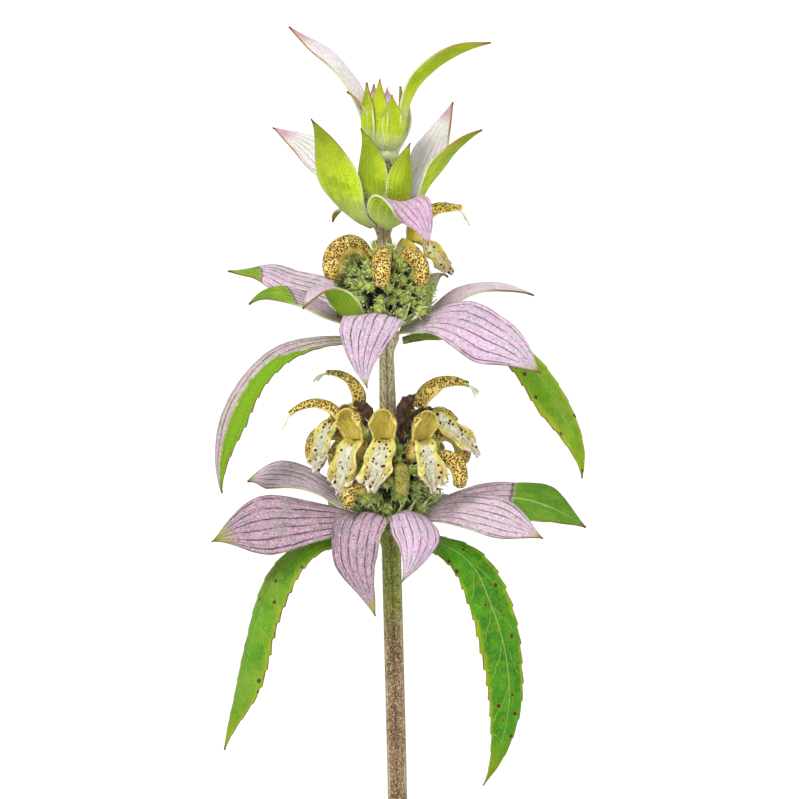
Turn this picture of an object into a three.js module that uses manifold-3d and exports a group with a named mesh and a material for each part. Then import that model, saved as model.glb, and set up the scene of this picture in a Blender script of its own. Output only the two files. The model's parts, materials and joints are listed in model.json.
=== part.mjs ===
// A potted horsemint: one square flowering stem in a plain clay pot of soil. The stem carries three whorls
// of flowers and a top tuft. Each whorl is a round head of five-toothed calyces with two-lipped corollas,
// over a ring of coloured bracts. Millimetres, +Z up, the origin at the middle of the pot's underside,
// and the plant's best side towards -Y.
import * as THREE from 'three';
import { mergeVertices } from 'three/addons/utils/BufferGeometryUtils.js';
import Module from 'manifold-3d';

const wasm = await Module();
wasm.setup();

// Driving dimensions
const POT = { height: 100, rimRadius: 56, baseRadius: 37, wall: 4.5, bandHeight: 19, bandStep: 3,
  drainRadius: 6 };
const SOIL_TOP = 90;
const STEM_WIDTH = 3.3;
const STEM_TOP_WIDTH = 1.9;
const CLEARANCE = 0.3;
const BLADE_THICKNESS = 0.7;
const SLIVER = 0.12;
const STEM_LINE = [
  [0, 0, 74], [0, 0, 96], [-0.4, 0, 130], [-1.2, 0, 170], [-2.3, 0, 214], [-3.1, 0, 247], [-3.5, 0, 265],
  [-3.1, 0, 276.5],
];
const NODE = { lower: 213, middle: 246, upper: 264.8, top: 275 };
const COLLARS = [
  { foot: 98, top: 100, half: 2.2 }, { foot: 121, top: 123, half: 2.2 }, { foot: 147, top: 149, half: 2.2 },
  { foot: 209.6, top: 213.4, half: 2.5 }, { foot: 243.4, top: 246.2, half: 2.3 },
  { foot: 263.2, top: 265.2, half: 1.8 }, { foot: 274.2, top: 275.4, half: 1.2 },
];

// Materials
const colour = (hex, roughness) => new THREE.MeshStandardMaterial({ color: hex, roughness, metalness: 0 });
const CLAY = colour(0xb5694a, 0.85);
const EARTH = colour(0x3a2a20, 0.95);
const STEM_GREEN = colour(0x7c7a48, 0.7);
const LEAF_GREEN = colour(0x4f9a1e, 0.6);
const YOUNG_GREEN = colour(0x9fc728, 0.6);
const LILAC = colour(0xc9a4c6, 0.65);
const CALYX_GREEN = colour(0x86a043, 0.7);
const COROLLA_YELLOW = colour(0xd9bf55, 0.6);

// Small helpers
const RAD = Math.PI / 180;
const GOLDEN_ANGLE = 137.508;
const vec = (x, y, z) => new THREE.Vector3(x, y, z);
const mix = (a, b, t) => a + (b - a) * t;
const clamp01 = (x) => Math.min(1, Math.max(0, x));
const smooth = (x) => clamp01(x) ** 2 * (3 - 2 * clamp01(x));
const heading = (turn) => vec(Math.sin(turn * RAD), -Math.cos(turn * RAD), 0);

function seededRandom(seed) {
  let state = seed;
  return () => {
    state = (state * 1664525 + 1013904223) % 4294967296;
    return state / 4294967296;
  };
}

// Rings of points, each with the same count, joined into one closed surface with flat ends.
// Every quad is split the same way, so that the two faces of a thin blade stay parallel.
function solidFromRings(rings, capCentres = null) {
  const size = rings[0].length;
  const points = rings.flat();
  const faces = [];
  for (let i = 0; i + 1 < rings.length; i++) {
    for (let j = 0; j < size; j++) {
      const a = i * size + j;
      const b = i * size + ((j + 1) % size);
      const mirrored = j >= size / 2;
      if (mirrored) faces.push([a, b, a + size], [b, b + size, a + size]);
      else faces.push([a, b, b + size], [a, b + size, a + size]);
    }
  }
  const last = (rings.length - 1) * size;
  if (capCentres) {
    points.push(capCentres[0], capCentres[1]);
    for (let j = 0; j < size; j++) {
      const k = (j + 1) % size;
      faces.push([points.length - 2, k, j], [points.length - 1, last + j, last + k]);
    }
  } else {
    for (let j = 0; j < size / 2 - 1; j++) {
      const k = size - 1 - j;
      faces.push([j, k, j + 1], [j + 1, k, k - 1]);
      faces.push([last + j, last + j + 1, last + k], [last + j + 1, last + k - 1, last + k]);
    }
  }
  return manifoldOf(points, faces);
}

function manifoldOf(points, faces) {
  const make = (list) => new wasm.Manifold(new wasm.Mesh({
    numProp: 3,
    vertProperties: new Float32Array(points.flatMap((p) => [p.x, p.y, p.z])),
    triVerts: new Uint32Array(list.flat()),
  }));
  const solid = make(faces);
  return solid.volume() > 0 ? solid : make(faces.map(([a, b, c]) => [a, c, b]));
}

function manifoldOfGeometry(geometry) {
  const bare = geometry.clone();
  bare.deleteAttribute('normal');
  bare.deleteAttribute('uv');
  const merged = mergeVertices(bare, 1e-4);
  return new wasm.Manifold(new wasm.Mesh({
    numProp: 3,
    vertProperties: merged.attributes.position.array,
    triVerts: new Uint32Array(merged.index.array),
  }));
}

function meshOf(name, solid, material) {
  const { vertProperties, triVerts } = solid.getMesh();
  const geometry = new THREE.BufferGeometry();
  geometry.setAttribute('position', new THREE.BufferAttribute(vertProperties, 3));
  geometry.setIndex(new THREE.BufferAttribute(triVerts, 1));
  const mesh = new THREE.Mesh(geometry, material);
  mesh.name = name;
  return mesh;
}

const union = (solids) => wasm.Manifold.union(solids);

// The biggest body of a solid, without the scraps and slivers that a union can leave.
function wholeOf(solid) {
  return solid.decompose().sort((a, b) => b.volume() - a.volume())[0].simplify(SLIVER);
}

// The stem's axis
const stemCurve = new THREE.CatmullRomCurve3(STEM_LINE.map((p) => vec(...p)));

function stemAt(z) {
  let low = 0;
  let high = 1;
  for (let step = 0; step < 30; step++) {
    const middle = (low + high) / 2;
    if (stemCurve.getPoint(middle).z < z) low = middle;
    else high = middle;
  }
  return stemCurve.getPoint(low);
}

function stemWidthAt(z) {
  return mix(STEM_WIDTH, STEM_TOP_WIDTH, smooth((z - NODE.lower) / (NODE.upper - NODE.lower)));
}

// The outline of a blade, as a share of its full width: a neck at the stem, the full width at its peak and
// a drawn-out tip. t runs from 0 at the stem to 1 at the tip.
function bladeWidth({ neck = 0.3, peak }, t) {
  if (t < peak) return mix(neck, 1, Math.sin((t / peak) * 90 * RAD) ** 1.3);
  return (1 - ((t - peak) / (1 - peak)) ** 1.7) ** 1.3;
}

// The value at t of a list of values that are spread evenly from 0 to 1.
function along(list, t) {
  const at = clamp01(t) * (list.length - 1);
  const k = Math.min(Math.floor(at), list.length - 2);
  return list.length === 1 ? list[0] : mix(list[k], list[k + 1], at - k);
}

// A blade leaves the stem at an azimuth, turn. Climb lists its slope angles from the stem to the tip, and
// lean its sideways bend in its own plane. Roll turns it about its midrib, and fold lifts its edges.
function bladeStations(blade, count) {
  const fine = 8;
  const side = heading(blade.turn + 90);
  const place = blade.place?.clone() ?? stemAt(blade.z).addScaledVector(heading(blade.turn), blade.reach);
  const stations = [];
  for (let step = 0; step <= count * fine; step++) {
    const t = step / (count * fine);
    const climb = along(blade.climb, t) * RAD;
    const lean = along(blade.lean ?? [0], t) * RAD;
    const roll = along(blade.roll ?? [0], t) * RAD;
    const straight = heading(blade.turn).multiplyScalar(Math.cos(climb)).setZ(Math.sin(climb));
    const up = straight.clone().cross(side);
    const onward = straight.clone().multiplyScalar(Math.cos(lean)).addScaledVector(side, Math.sin(lean));
    if (step % fine === 0) {
      const across = side.clone().multiplyScalar(Math.cos(lean)).addScaledVector(straight, -Math.sin(lean));
      stations.push({
        t,
        place: place.clone(),
        side: across.clone().multiplyScalar(Math.cos(roll)).addScaledVector(up, Math.sin(roll)),
        up: up.clone().multiplyScalar(Math.cos(roll)).addScaledVector(across, -Math.sin(roll)),
      });
    }
    place.addScaledVector(onward, blade.length / (count * fine));
  }
  return stations;
}

// A blade has a midrib and two edges on each face. Teeth notch its outline at every other station. Fold may
// be one number or a list from the stem to the tip. Edges lists how much wider or narrower than the plain
// outline the blade is on its right and on its left.
function bladeSolid(blade, count) {
  const thick = blade.thickness ?? BLADE_THICKNESS;
  const rings = bladeStations(blade, count).map(({ t, place, side, up }, i) => {
    const notch = blade.teeth && i % 2 === 0 ? 1 - blade.teeth : 1;
    const half = Math.max(0.3, (blade.width / 2) * bladeWidth(blade, t) * notch);
    const fold = along([blade.fold ?? 0].flat(), t);
    const [right, left] = (blade.edges ?? [[1], [1]]).map((shares) => half * along(shares, t));
    const row = (lift) => [-left, 0, right].map((reach) => place.clone()
      .addScaledVector(side, reach)
      .addScaledVector(up, Math.abs(reach) * fold + lift));
    return [...row(thick / 2), ...row(-thick / 2).reverse()];
  });
  return solidFromRings(rings);
}

// A round or flattened tube along a curve, with a radius for each station.
function tubeSolid(points, radii, sides, flatten = 1) {
  const curve = new THREE.CatmullRomCurve3(points);
  const count = radii.length - 1;
  const frames = curve.computeFrenetFrames(count, false);
  const rings = radii.map((radius, i) => {
    const middle = curve.getPointAt(i / count);
    return Array.from({ length: sides }, (_, j) => {
      const angle = ((j + 0.5) / sides) * 360 * RAD;
      return middle.clone()
        .addScaledVector(frames.normals[i], Math.cos(angle) * radius)
        .addScaledVector(frames.binormals[i], Math.sin(angle) * radius * flatten);
    });
  });
  return solidFromRings(rings, [curve.getPointAt(0), curve.getPointAt(1)]);
}

// The pot: a turned profile with a thicker band at the rim and a hole to drain it
function potSolid() {
  const { height, rimRadius, baseRadius, wall, bandHeight, bandStep, drainRadius } = POT;
  const bandFoot = height - bandHeight;
  const wallAt = (z) => mix(baseRadius, rimRadius - bandStep, z / bandFoot);
  const profile = [
    [drainRadius, 0], [baseRadius - 1, 0], [baseRadius, 1], [wallAt(bandFoot), bandFoot],
    [rimRadius - 0.8, bandFoot + 0.6], [rimRadius, height - 1.2], [rimRadius - 1.2, height],
    [rimRadius - wall - 1, height], [rimRadius - wall - 2, height - 1.5], [baseRadius - wall, wall + 1.5],
    [baseRadius - wall - 1.5, wall], [drainRadius, wall], [drainRadius, 0],
  ].map(([r, z]) => new THREE.Vector2(r, z));
  const turned = new THREE.LatheGeometry(profile, 36);
  turned.rotateX(90 * RAD);
  return manifoldOfGeometry(turned);
}

// The soil fills the pot with a gap of CLEARANCE to its wall, and its top is lumpy and a little domed.
function soilSolid() {
  const random = seededRandom(7);
  const { height, rimRadius, baseRadius, wall } = POT;
  const innerAt = (z) => mix(baseRadius - wall, rimRadius - wall - 2, (z - wall - 1.5) / (height - wall - 3));
  const sides = 26;
  const ring = (radius, z, rough) => Array.from({ length: sides }, (_, j) => {
    const angle = (j / sides) * 360 * RAD;
    return vec(Math.cos(angle) * radius, Math.sin(angle) * radius, z + (random() - 0.5) * rough);
  });
  const inner = (z) => innerAt(z) - CLEARANCE - 0.3;
  const rings = [
    ring(baseRadius - wall - 2.2, wall + CLEARANCE, 0),
    ring(inner(wall + 2), wall + 2, 0),
    ring(inner(SOIL_TOP - 3), SOIL_TOP - 3, 0),
    ...[0.95, 0.78, 0.6, 0.42, 0.24, 0.1].map((share) => ring(
      inner(SOIL_TOP) * share, SOIL_TOP + (1 - share) * 2.2, share > 0.9 ? 0.8 : 1.6,
    )),
  ];
  return solidFromRings(rings, [vec(0, 0, wall + CLEARANCE), vec(0, 0, SOIL_TOP + 2.2)]);
}

// The stem is square with rounded corners, swells at each leaf pair and has a round collar under each whorl.
function stemSolid() {
  const section = (z, half, corner) => {
    const middle = stemAt(Math.min(z, NODE.top)).setZ(z);
    return [
      [half, -corner], [half, corner], [corner, half], [-corner, half],
      [-half, corner], [-half, -corner], [-corner, -half], [corner, -half],
    ].map(([x, y]) => vec(middle.x + x, middle.y + y, z));
  };
  const plain = (z) => ({ z, ring: section(z, stemWidthAt(z) / 2, stemWidthAt(z) * 0.34) });
  const rings = [78, 88, 110, 134, 160, 185, 226, 236, 254, 270].map(plain);
  for (const { foot, top, half } of COLLARS) {
    const round = half * 0.45;
    rings.push(plain(foot - 2), { z: foot, ring: section(foot, half, round) });
    rings.push({ z: top, ring: section(top, half, round) });
    if (top < NODE.top) rings.push(plain(top + 2));
  }
  rings.sort((a, b) => a.z - b.z);
  const last = rings[rings.length - 1].z;
  return solidFromRings(rings.map(({ ring }) => ring), [stemAt(78).setZ(78), stemAt(NODE.top).setZ(last)]);
}

// A calyx: a narrow cone from inside the core that opens into five pointed teeth round a sunken throat.
function calyxSolid(foot, aim, length, radius) {
  const across = aim.clone().cross(Math.abs(aim.z) < 0.9 ? vec(0, 0, 1) : vec(1, 0, 0)).normalize();
  const over = aim.clone().cross(across);
  const points = Array.from({ length: 10 }, (_, j) => {
    const tooth = j % 2 === 0;
    const angle = j * 36 * RAD;
    return foot.clone()
      .addScaledVector(aim, length * (tooth ? 1 : 0.82))
      .addScaledVector(across, Math.cos(angle) * radius * (tooth ? 1.3 : 0.9))
      .addScaledVector(over, Math.sin(angle) * radius * (tooth ? 1.3 : 0.9));
  });
  points.push(foot.clone(), foot.clone().addScaledVector(aim, length * 0.74));
  const faces = Array.from({ length: 10 }, (_, j) => [[10, (j + 1) % 10, j], [11, j, (j + 1) % 10]]);
  return manifoldOf(points, faces.flat());
}

// Points of a flower in its own upright plane, from its throat: r outwards from the head's axis and z up.
// The throat is out from the axis and lift above the node, and tilt tips the flower upwards.
function flowerPath(head, { turn, out, lift, tilt = 0, size = 1 }, pairs) {
  return pairs.map(([r, z]) => {
    const far = out + size * (r * Math.cos(tilt * RAD) - z * Math.sin(tilt * RAD));
    const high = lift + size * (r * Math.sin(tilt * RAD) + z * Math.cos(tilt * RAD));
    return stemAt(head.z).addScaledVector(heading(turn), far).setZ(head.z + high);
  });
}

// The start of a flower's tube, deep inside the core of its head.
function flowerRoot(head, { turn, out, lift }) {
  return stemAt(head.z).addScaledVector(heading(turn), out * 0.35)
    .setZ(head.z + mix(head.coreLift, lift, 0.35));
}

// The lips of an open corolla: points in the flower's plane, and half widths along them. An arched hood
// hides its inside, a raised one stands up and shows it, and a tall one climbs before it bends. The lip of a
// spreading one reaches further out.
const LIPS = {
  arched: {
    hood: [[-0.6, 1.2], [1.2, 3.6], [4.2, 4.6], [7.2, 4], [9.6, 2.4]],
    hoodHalves: [1.9, 2.2, 1.6, 0.5],
    lip: [[0, 0.4], [1.9, 0], [3, -3], [3.2, -6.4], [3.7, -9]],
    lipHalves: [1.9, 2.3, 2.3, 0.5],
  },
  raised: {
    hood: [[-0.6, 0.8], [-0.1, 3.1], [0.9, 5.1], [2.4, 6]],
    hoodHalves: [1.8, 2.2, 2.2, 0.9],
    lip: [[0, 0.4], [1.5, 0.1], [2.3, -2.4], [2.4, -5.4], [2.8, -8.2]],
    lipHalves: [1.8, 2.4, 2.3, 0.6],
  },
  spreading: {
    hood: [[-0.6, 1.2], [1.2, 3.6], [4.2, 4.6], [7.2, 4], [9.6, 2.4]],
    hoodHalves: [1.9, 2.2, 1.6, 0.5],
    lip: [[0, 0.4], [2.4, -0.4], [4.4, -3.2], [6, -6.6], [7.4, -10]],
    lipHalves: [1.7, 2, 1.9, 0.6],
  },
  tall: {
    hood: [[-0.6, 0.6], [-0.4, 3.2], [1.6, 5.4], [5.6, 6.6], [10.2, 6]],
    hoodHalves: [1.5, 1.6, 1.1, 0.9, 0.5],
    lip: [[0, 0.4], [2, -0.2], [4.4, -1.8], [6.6, -3.6], [8.6, -5.4]],
    lipHalves: [1.4, 1.7, 1.7, 0.5],
  },
};

// An arched or hanging lip: a strip along a path, with a half width at each station and its edges turned
// down (cup below 0) or up.
function lipSolid(points, halves, turn, cup) {
  const curve = new THREE.CatmullRomCurve3(points);
  const count = halves.length - 1;
  const side = heading(turn + 90);
  const rings = halves.map((half, i) => {
    const middle = curve.getPointAt(i / count);
    const up = curve.getTangentAt(i / count).cross(side).normalize();
    const row = (lift) => [-1, 0, 1].map((u) => middle.clone()
      .addScaledVector(side, u * half)
      .addScaledVector(up, Math.abs(u) * half * cup + lift));
    return [...row(0.33), ...row(-0.33).reverse()];
  });
  return solidFromRings(rings);
}

// An open corolla: a tube from its calyx, a hooded upper lip, and a hanging lower lip, which may face another
// way than the hood.
function openCorolla(head, flower) {
  const size = flower.size ?? 1;
  const form = LIPS[flower.form ?? 'arched'];
  const path = (pairs) => flowerPath(head, flower, pairs);
  const scaled = (halves) => halves.map((half) => half * size);
  return [
    tubeSolid([flowerRoot(head, flower), ...path([[-1.6, -1.5], [0.2, 1.4]])], scaled([0.8, 1.2, 1.9]), 5),
    lipSolid(path(form.hood), scaled(form.hoodHalves), flower.turn, -0.75),
    lipSolid(path(form.lip), scaled(form.lipHalves), flower.face ?? flower.turn, 0.35),
  ];
}

// A closed corolla: a hooked, flattened hood that bends out and down.
function closedCorolla(head, flower) {
  const path = flowerPath(head, flower, [[-1.3, 0.9], [1.4, 2.3], [4, 1.2], [4.9, -1], [4.5, -3.4]]);
  const radii = [0.7, 1.3, 1.7, 1.8, 1.6, 1.1].map((r) => r * (flower.size ?? 1));
  return [tubeSolid([flowerRoot(head, flower), ...path], radii, 6, 0.8)];
}

// A spent corolla: a thin, limp tube that still stands in its calyx.
function spentCorolla(head, flower) {
  const path = flowerPath(head, flower, [[-0.6, -0.5], [0.8, 1.6], [3.4, 2]]);
  return [tubeSolid([flowerRoot(head, flower), ...path], [0.7, 1, 0.9, 0.35], 4)];
}

// A head: a core round the stem, calyces over it by the golden angle, and the corollas at their places.
// A calyx is left out where a corolla stands or where it would touch a bract.
function headSolid(head, bracts) {
  const middle = stemAt(head.z + head.coreLift).setZ(head.z + head.coreLift);
  const core = new THREE.SphereGeometry(1, 10, 6);
  core.rotateX(90 * RAD).scale(head.coreRadius, head.coreRadius, head.coreHeight);
  core.translate(middle.x, middle.y, middle.z);
  const pieces = [manifoldOfGeometry(core)];
  const flowers = [...head.open, ...head.closed, ...head.spent];
  const throats = flowers.map((flower) => flowerPath(head, flower, [[0, 0]])[0].sub(middle).normalize());
  const spread = vec(head.coreRadius, head.coreRadius, head.coreHeight).multiplyScalar(0.45);
  for (let k = 0; k < head.calyces; k++) {
    const rise = mix(head.lowest, head.highest, (k + 0.5) / head.calyces);
    const aim = heading(k * GOLDEN_ANGLE).multiplyScalar(Math.sqrt(1 - rise * rise)).setZ(rise);
    const foot = middle.clone().add(aim.clone().multiply(spread));
    const calyx = calyxSolid(foot, aim, head.calyxLength, head.calyxRadius);
    const taken = throats.some((throat) => throat.angleTo(aim) < 15 * RAD);
    if (!taken && calyx.intersect(bracts).isEmpty()) pieces.push(calyx);
  }
  for (const flower of head.open) pieces.push(...openCorolla(head, flower));
  for (const flower of head.closed) pieces.push(...closedCorolla(head, flower));
  for (const flower of head.spent) pieces.push(...spentCorolla(head, flower));
  const around = tubeSolid(
    [head.z - 6, head.z + 8, head.z + 26].map((z) => stemAt(Math.min(z, NODE.top)).setZ(z)),
    [0, 1, 2].map(() => head.hole), 8,
  );
  return wholeOf(union(pieces).subtract(around));
}

// A tuft of small leaves or bracts: blades that share one round foot, cut back where others stand.
function tuftSolid({ z, turn = 0, reach, foot, blades }, count, others = null) {
  const middle = stemAt(z).addScaledVector(heading(turn), reach);
  const root = new THREE.SphereGeometry(1, 7, 5);
  root.rotateX(90 * RAD).scale(foot.radius, foot.radius, foot.height);
  root.translate(middle.x, middle.y, z + foot.height);
  const pieces = blades.map((blade) => {
    const place = middle.clone().addScaledVector(heading(blade.turn), foot.radius * 0.4);
    return bladeSolid({ ...blade, place: place.setZ(z + foot.height) }, count);
  });
  const tuft = union([manifoldOfGeometry(root), ...pieces]);
  return wholeOf(others ? tuft.subtract(others) : tuft);
}

const group = new THREE.Group();
const add = (name, solid, material) => group.add(meshOf(name, solid, material));

add('pot', potSolid(), CLAY);
const stemHole = tubeSolid([vec(0, 0, 76), vec(0, 0, 88), vec(0, 0, 100)], [2.3, 2.3, 2.3], 10);
add('soil', soilSolid().subtract(stemHole), EARTH);
add('stem', stemSolid(), STEM_GREEN);

// Bracts and leaves. Angles in degrees: turn is 0 towards -Y, 90 towards +X and 270 towards -X.
const rings = {
  lower_bract: {
    z: 212.4,
    reach: 3,
    neck: 0.2,
    material: LILAC,
    blades: {
      left_back: { turn: 244, climb: [19, 33, 22, 2, -36], length: 26.2, width: 6.9, roll: [-20, -28, -36],
        peak: 0.78, dz: 0.6, edges: [[1, 1, 0.7, 0.97, 1.2, 1.2], [1, 1, 0.98, 0.92, 0.91, 1]] },
      left: { turn: 290, climb: [13, 4, -1, -3, -10, -26], length: 29.7, width: 10,
        roll: [-60, -61, -66, -62], peak: 0.65,
        edges: [[1, 0.97, 0.9, 1.03, 1.09, 1.09], [1, 1, 0.96, 1.09, 1, 0.8]] },
      front_left: { turn: 326, climb: [48, 11, -59, -81, -90, -89, -81], lean: [2, 2, 0, 3, 23, 31, 30],
        length: 25.1, width: 11.1, peak: 0.34, fold: -0.2, dz: 0.6,
        edges: [[1, 0.9, 0.86, 0.98, 1, 1.28], [1, 1.02, 1.02, 1.06, 0.8, 0.8]] },
      front_right: { turn: 22, climb: [55, 38, -30, -50, -80, -86, -86], lean: [0, 0, 0, 0, -12, -28, -38],
        length: 20, width: 7.8, peak: 0.5, fold: -0.3, edges: [[1, 1, 1.12, 1.24, 0.96, 0.8], [1]] },
      right: { turn: 70, climb: [24, 16, -4, -11, -22, -26], length: 25.6, width: 8.1, roll: [46, 46, 46, 57],
        peak: 0.61, dz: 0.6, edges: [[1, 1, 1.02, 1.03, 0.99, 0.85], [1, 0.91, 0.92, 0.98, 1.13, 1.11]] },
      right_back: { turn: 108, climb: [30, 21, 2, 2, -16, -27, -33], length: 34, width: 8.9,
        roll: [28, 40, 43, 45], peak: 0.73,
        edges: [[1, 0.8, 0.98, 0.85, 1.3, 0.98], [1, 1, 1, 1.2, 0.75, 0.75]] },
      back_right: { turn: 154, climb: [24, 0, -46], length: 27, width: 9, peak: 0.5, dz: 0.6 },
      back_left: { turn: 202, climb: [26, 0, -44], length: 26, width: 9, peak: 0.5 },
    },
  },
  lower_leaf: {
    z: 210.6,
    reach: 3,
    teeth: 0.1,
    material: LEAF_GREEN,
    blades: {
      left: { turn: 286, climb: [2, -8, -38, -64, -75, -78, -70, -78], length: 50, width: 7.5,
        roll: [-41, -35, -29, -35], peak: 0.57, neck: 0.3, fold: -0.4,
        edges: [[1, 0.75, 0.99, 0.95, 1.28, 1.3], [1, 1.1, 0.92, 0.7, 0.92, 0.95]] },
      right: { turn: 76, climb: [-7, -24, -64, -72, -80, -95, -107, -123], length: 52, width: 8.6,
        roll: [36, 57, 52, 70], peak: 0.5, neck: 0.3, fold: -0.2,
        edges: [[1, 1.15, 0.99, 0.78, 0.97, 1.3], [1, 1.07, 0.93, 1.03, 1.22, 1.25]] },
    },
  },
  middle_bract: {
    z: 245.3,
    reach: 2.8,
    neck: 0.2,
    material: LILAC,
    blades: {
      left_back: { turn: 240, climb: [44, 33, 18, 9, 19, -8, 4], length: 30.4, width: 7.3,
        roll: [-39, -30, -21], peak: 0.54, dz: 0.9,
        edges: [[1, 1, 1.06, 1.05, 1.18, 1.18], [1, 1, 0.99, 0.75, 1, 0.95]] },
      left: { turn: 275, climb: [29, 25, 32, 21, -3, -48], length: 22.7, width: 5.9,
        roll: [-10, -18, -26, -27], peak: 0.59, dz: -0.2 },
      front_left: { turn: 308, climb: [14, 30, 56, 50, 0, -40, -56], length: 19, width: 8.6, peak: 0.5,
        dz: 1.3 },
      front: { turn: 352, climb: [20, 50, 13, -77, -95, -89, -73], lean: [-2, -2, -10, -19, -9, 8, 23],
        length: 22, width: 10.6, peak: 0.43, fold: -0.2, neck: 0.12,
        edges: [[1, 1.1, 0.95, 0.93, 1.01, 1.19], [1, 0.7, 0.84, 1.02, 0.84, 0.82]] },
      right: { turn: 62, climb: [12, 19, -2, -21, -24, -39, -31], length: 29.2, width: 10.2,
        roll: [36, 48, 54, 50], peak: 0.6, dz: 0.6,
        edges: [[1, 0.86, 1.02, 0.75, 0.8, 1.1], [1, 0.85, 1.08, 1.09, 1.08, 0.95]] },
      right_back: { turn: 102, climb: [30, 34, 34, 8, -10, -24], length: 25.2, width: 6, roll: [10],
        peak: 0.6 },
      back_right: { turn: 134, climb: [40, 44, 50, 30, -40], length: 15.3, width: 5.5, peak: 0.5, dz: 0.9 },
      back: { turn: 195, climb: [28, 0, -40], length: 24, width: 9, peak: 0.5 },
    },
  },
  middle_leaf: {
    z: 244,
    reach: 2.8,
    teeth: 0.08,
    material: LEAF_GREEN,
    blades: {
      left: { turn: 280, climb: [11, -1, -12, -40, -57, -73, -89, -107], length: 44.3, width: 7,
        roll: [-28, -24, -20, -31], peak: 0.68, neck: 0.25, fold: -0.5,
        edges: [[1, 0.95, 1.2, 1.2, 1.19, 1.24], [1, 1, 1.07, 1.05, 1.04, 1.04]] },
      right: { turn: 84, climb: [18, 7, -6, -26, -46, -61, -60, -70, -93], length: 45.1, width: 7.5,
        roll: [32, 36, 40, 49], peak: 0.66, neck: 0.25, fold: -0.2, dz: 0.1,
        edges: [[1, 1, 0.93, 0.84, 1.05, 1.2], [1, 1, 1.03, 1.02, 0.92, 0.99]] },
    },
  },
  upper_bract: {
    z: 264.2,
    reach: 2.2,
    neck: 0.3,
    material: YOUNG_GREEN,
    blades: {
      left_back: { turn: 238, climb: [52, 48, 42, 34, 22, 24], length: 25.5, width: 7, roll: [0, -30, -30],
        peak: 0.55, fold: 0.1, material: LILAC },
      front_left: { turn: 301, climb: [16, 48, 65, 70, 68, 60, 52], length: 23, width: 7.4,
        roll: [0, 20, 32, 32], peak: 0.42, fold: 0.25, dz: -0.7,
        edges: [[1], [1, 1.2, 1.3, 1.3, 1.3, 1.2]] },
      front: { turn: 334, climb: [60, 74, 86, 88, 88], lean: [0, 0, 0, -12, -30], length: 16.4, width: 5.8,
        peak: 0.45, fold: 0.2, dz: 0.6, neck: 0.2 },
      front_right: { turn: 32, climb: [40, 66, 84, 86, 88], lean: [0, 0, 2, 12, 24], length: 14.8,
        width: 5.2, peak: 0.5, fold: 0.2, dz: 0.2, neck: 0.2 },
      right_back: { turn: 130, climb: [46, 50, 56, 62, 66], length: 23.8, width: 7.2, peak: 0.55, fold: 0.1,
        edges: [[1, 1, 1.1, 1.3, 1.4, 1.3], [1]], material: LILAC },
      right: { turn: 84, climb: [16, 56, 66, 58, 46, 38, 22], length: 22.2, width: 6.4, roll: [0, -16, -26],
        peak: 0.55, fold: 0.1, neck: 0.2 },
      back_low: { turn: 250, climb: [20, 40, 40, -40, -84], length: 9.2, width: 3.4, peak: 0.5, dz: -1 },
      folded: { turn: 18, climb: [6, 56, 62, -20, -80, -86, -86], lean: [0, 0, 10, 36, 30, 16, 4],
        length: 17.4, width: 9.6, peak: 0.34, fold: [0.4, 0.35, 0.05, -0.2, -0.1], neck: 0.14, dz: -1,
        material: LILAC },
      back: { turn: 185, climb: [55, 45, 40], length: 14, width: 6, peak: 0.5, material: LILAC },
    },
  },
  top_bract: {
    z: 275.6,
    reach: 1.7,
    material: YOUNG_GREEN,
    blades: {
      left: { turn: 244, climb: [48, 84, 74, 62, 49, 41, 31, 32, 37], length: 28.2, width: 3.8,
        roll: [-31, -13, -16], peak: 0.7 },
      right: { turn: 66, climb: [60, 86, 80, 66, 46, 34, 25, 10, 8], length: 29.6, width: 3.6,
        roll: [-5, -25, -31], peak: 0.7 },
    },
  },
  stem_leaf_high: {
    z: 148,
    reach: 2.7,
    teeth: 0.1,
    neck: 0.25,
    material: LEAF_GREEN,
    blades: {
      front: { turn: 24, climb: [32, 20, 0, -26, -46, -60], length: 47, width: 10, peak: 0.45, fold: 0.2 },
      back: { turn: 204, climb: [34, 22, 2, -24, -44, -56], length: 46, width: 10, peak: 0.45, fold: 0.2 },
    },
  },
  stem_leaf_middle: {
    z: 122,
    reach: 2.7,
    teeth: 0.1,
    neck: 0.25,
    material: LEAF_GREEN,
    blades: {
      left: { turn: 290, climb: [36, 26, 8, -12, -28, -40], length: 50, width: 10.5, peak: 0.45, fold: 0.2 },
      right: { turn: 110, climb: [38, 28, 10, -10, -26, -36], length: 50, width: 10.5, peak: 0.45,
        fold: 0.2 },
    },
  },
  stem_leaf_low: {
    z: 99,
    reach: 2.7,
    teeth: 0.1,
    neck: 0.25,
    material: LEAF_GREEN,
    blades: {
      front: { turn: 18, climb: [48, 40, 22, 4, -12, -22], length: 42, width: 10, peak: 0.45, fold: 0.2 },
      back: { turn: 198, climb: [50, 42, 24, 6, -10, -20], length: 42, width: 10, peak: 0.45, fold: 0.2 },
    },
  },
};

const grownBlades = [];
for (const [ring, { blades, ...shared }] of Object.entries(rings)) {
  for (const [name, blade] of Object.entries(blades)) {
    const whole = { ...shared, ...blade, z: shared.z + (blade.dz ?? 0) };
    const count = whole.teeth ? 18 : 8;
    add(`${ring}_${name}`, bladeSolid(whole, count), whole.material);
    grownBlades.push(bladeSolid({
      ...whole, width: whole.width + 2 * CLEARANCE, thickness: BLADE_THICKNESS + 2 * CLEARANCE,
    }, count));
  }
}
const aroundBlades = union(grownBlades);

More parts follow.
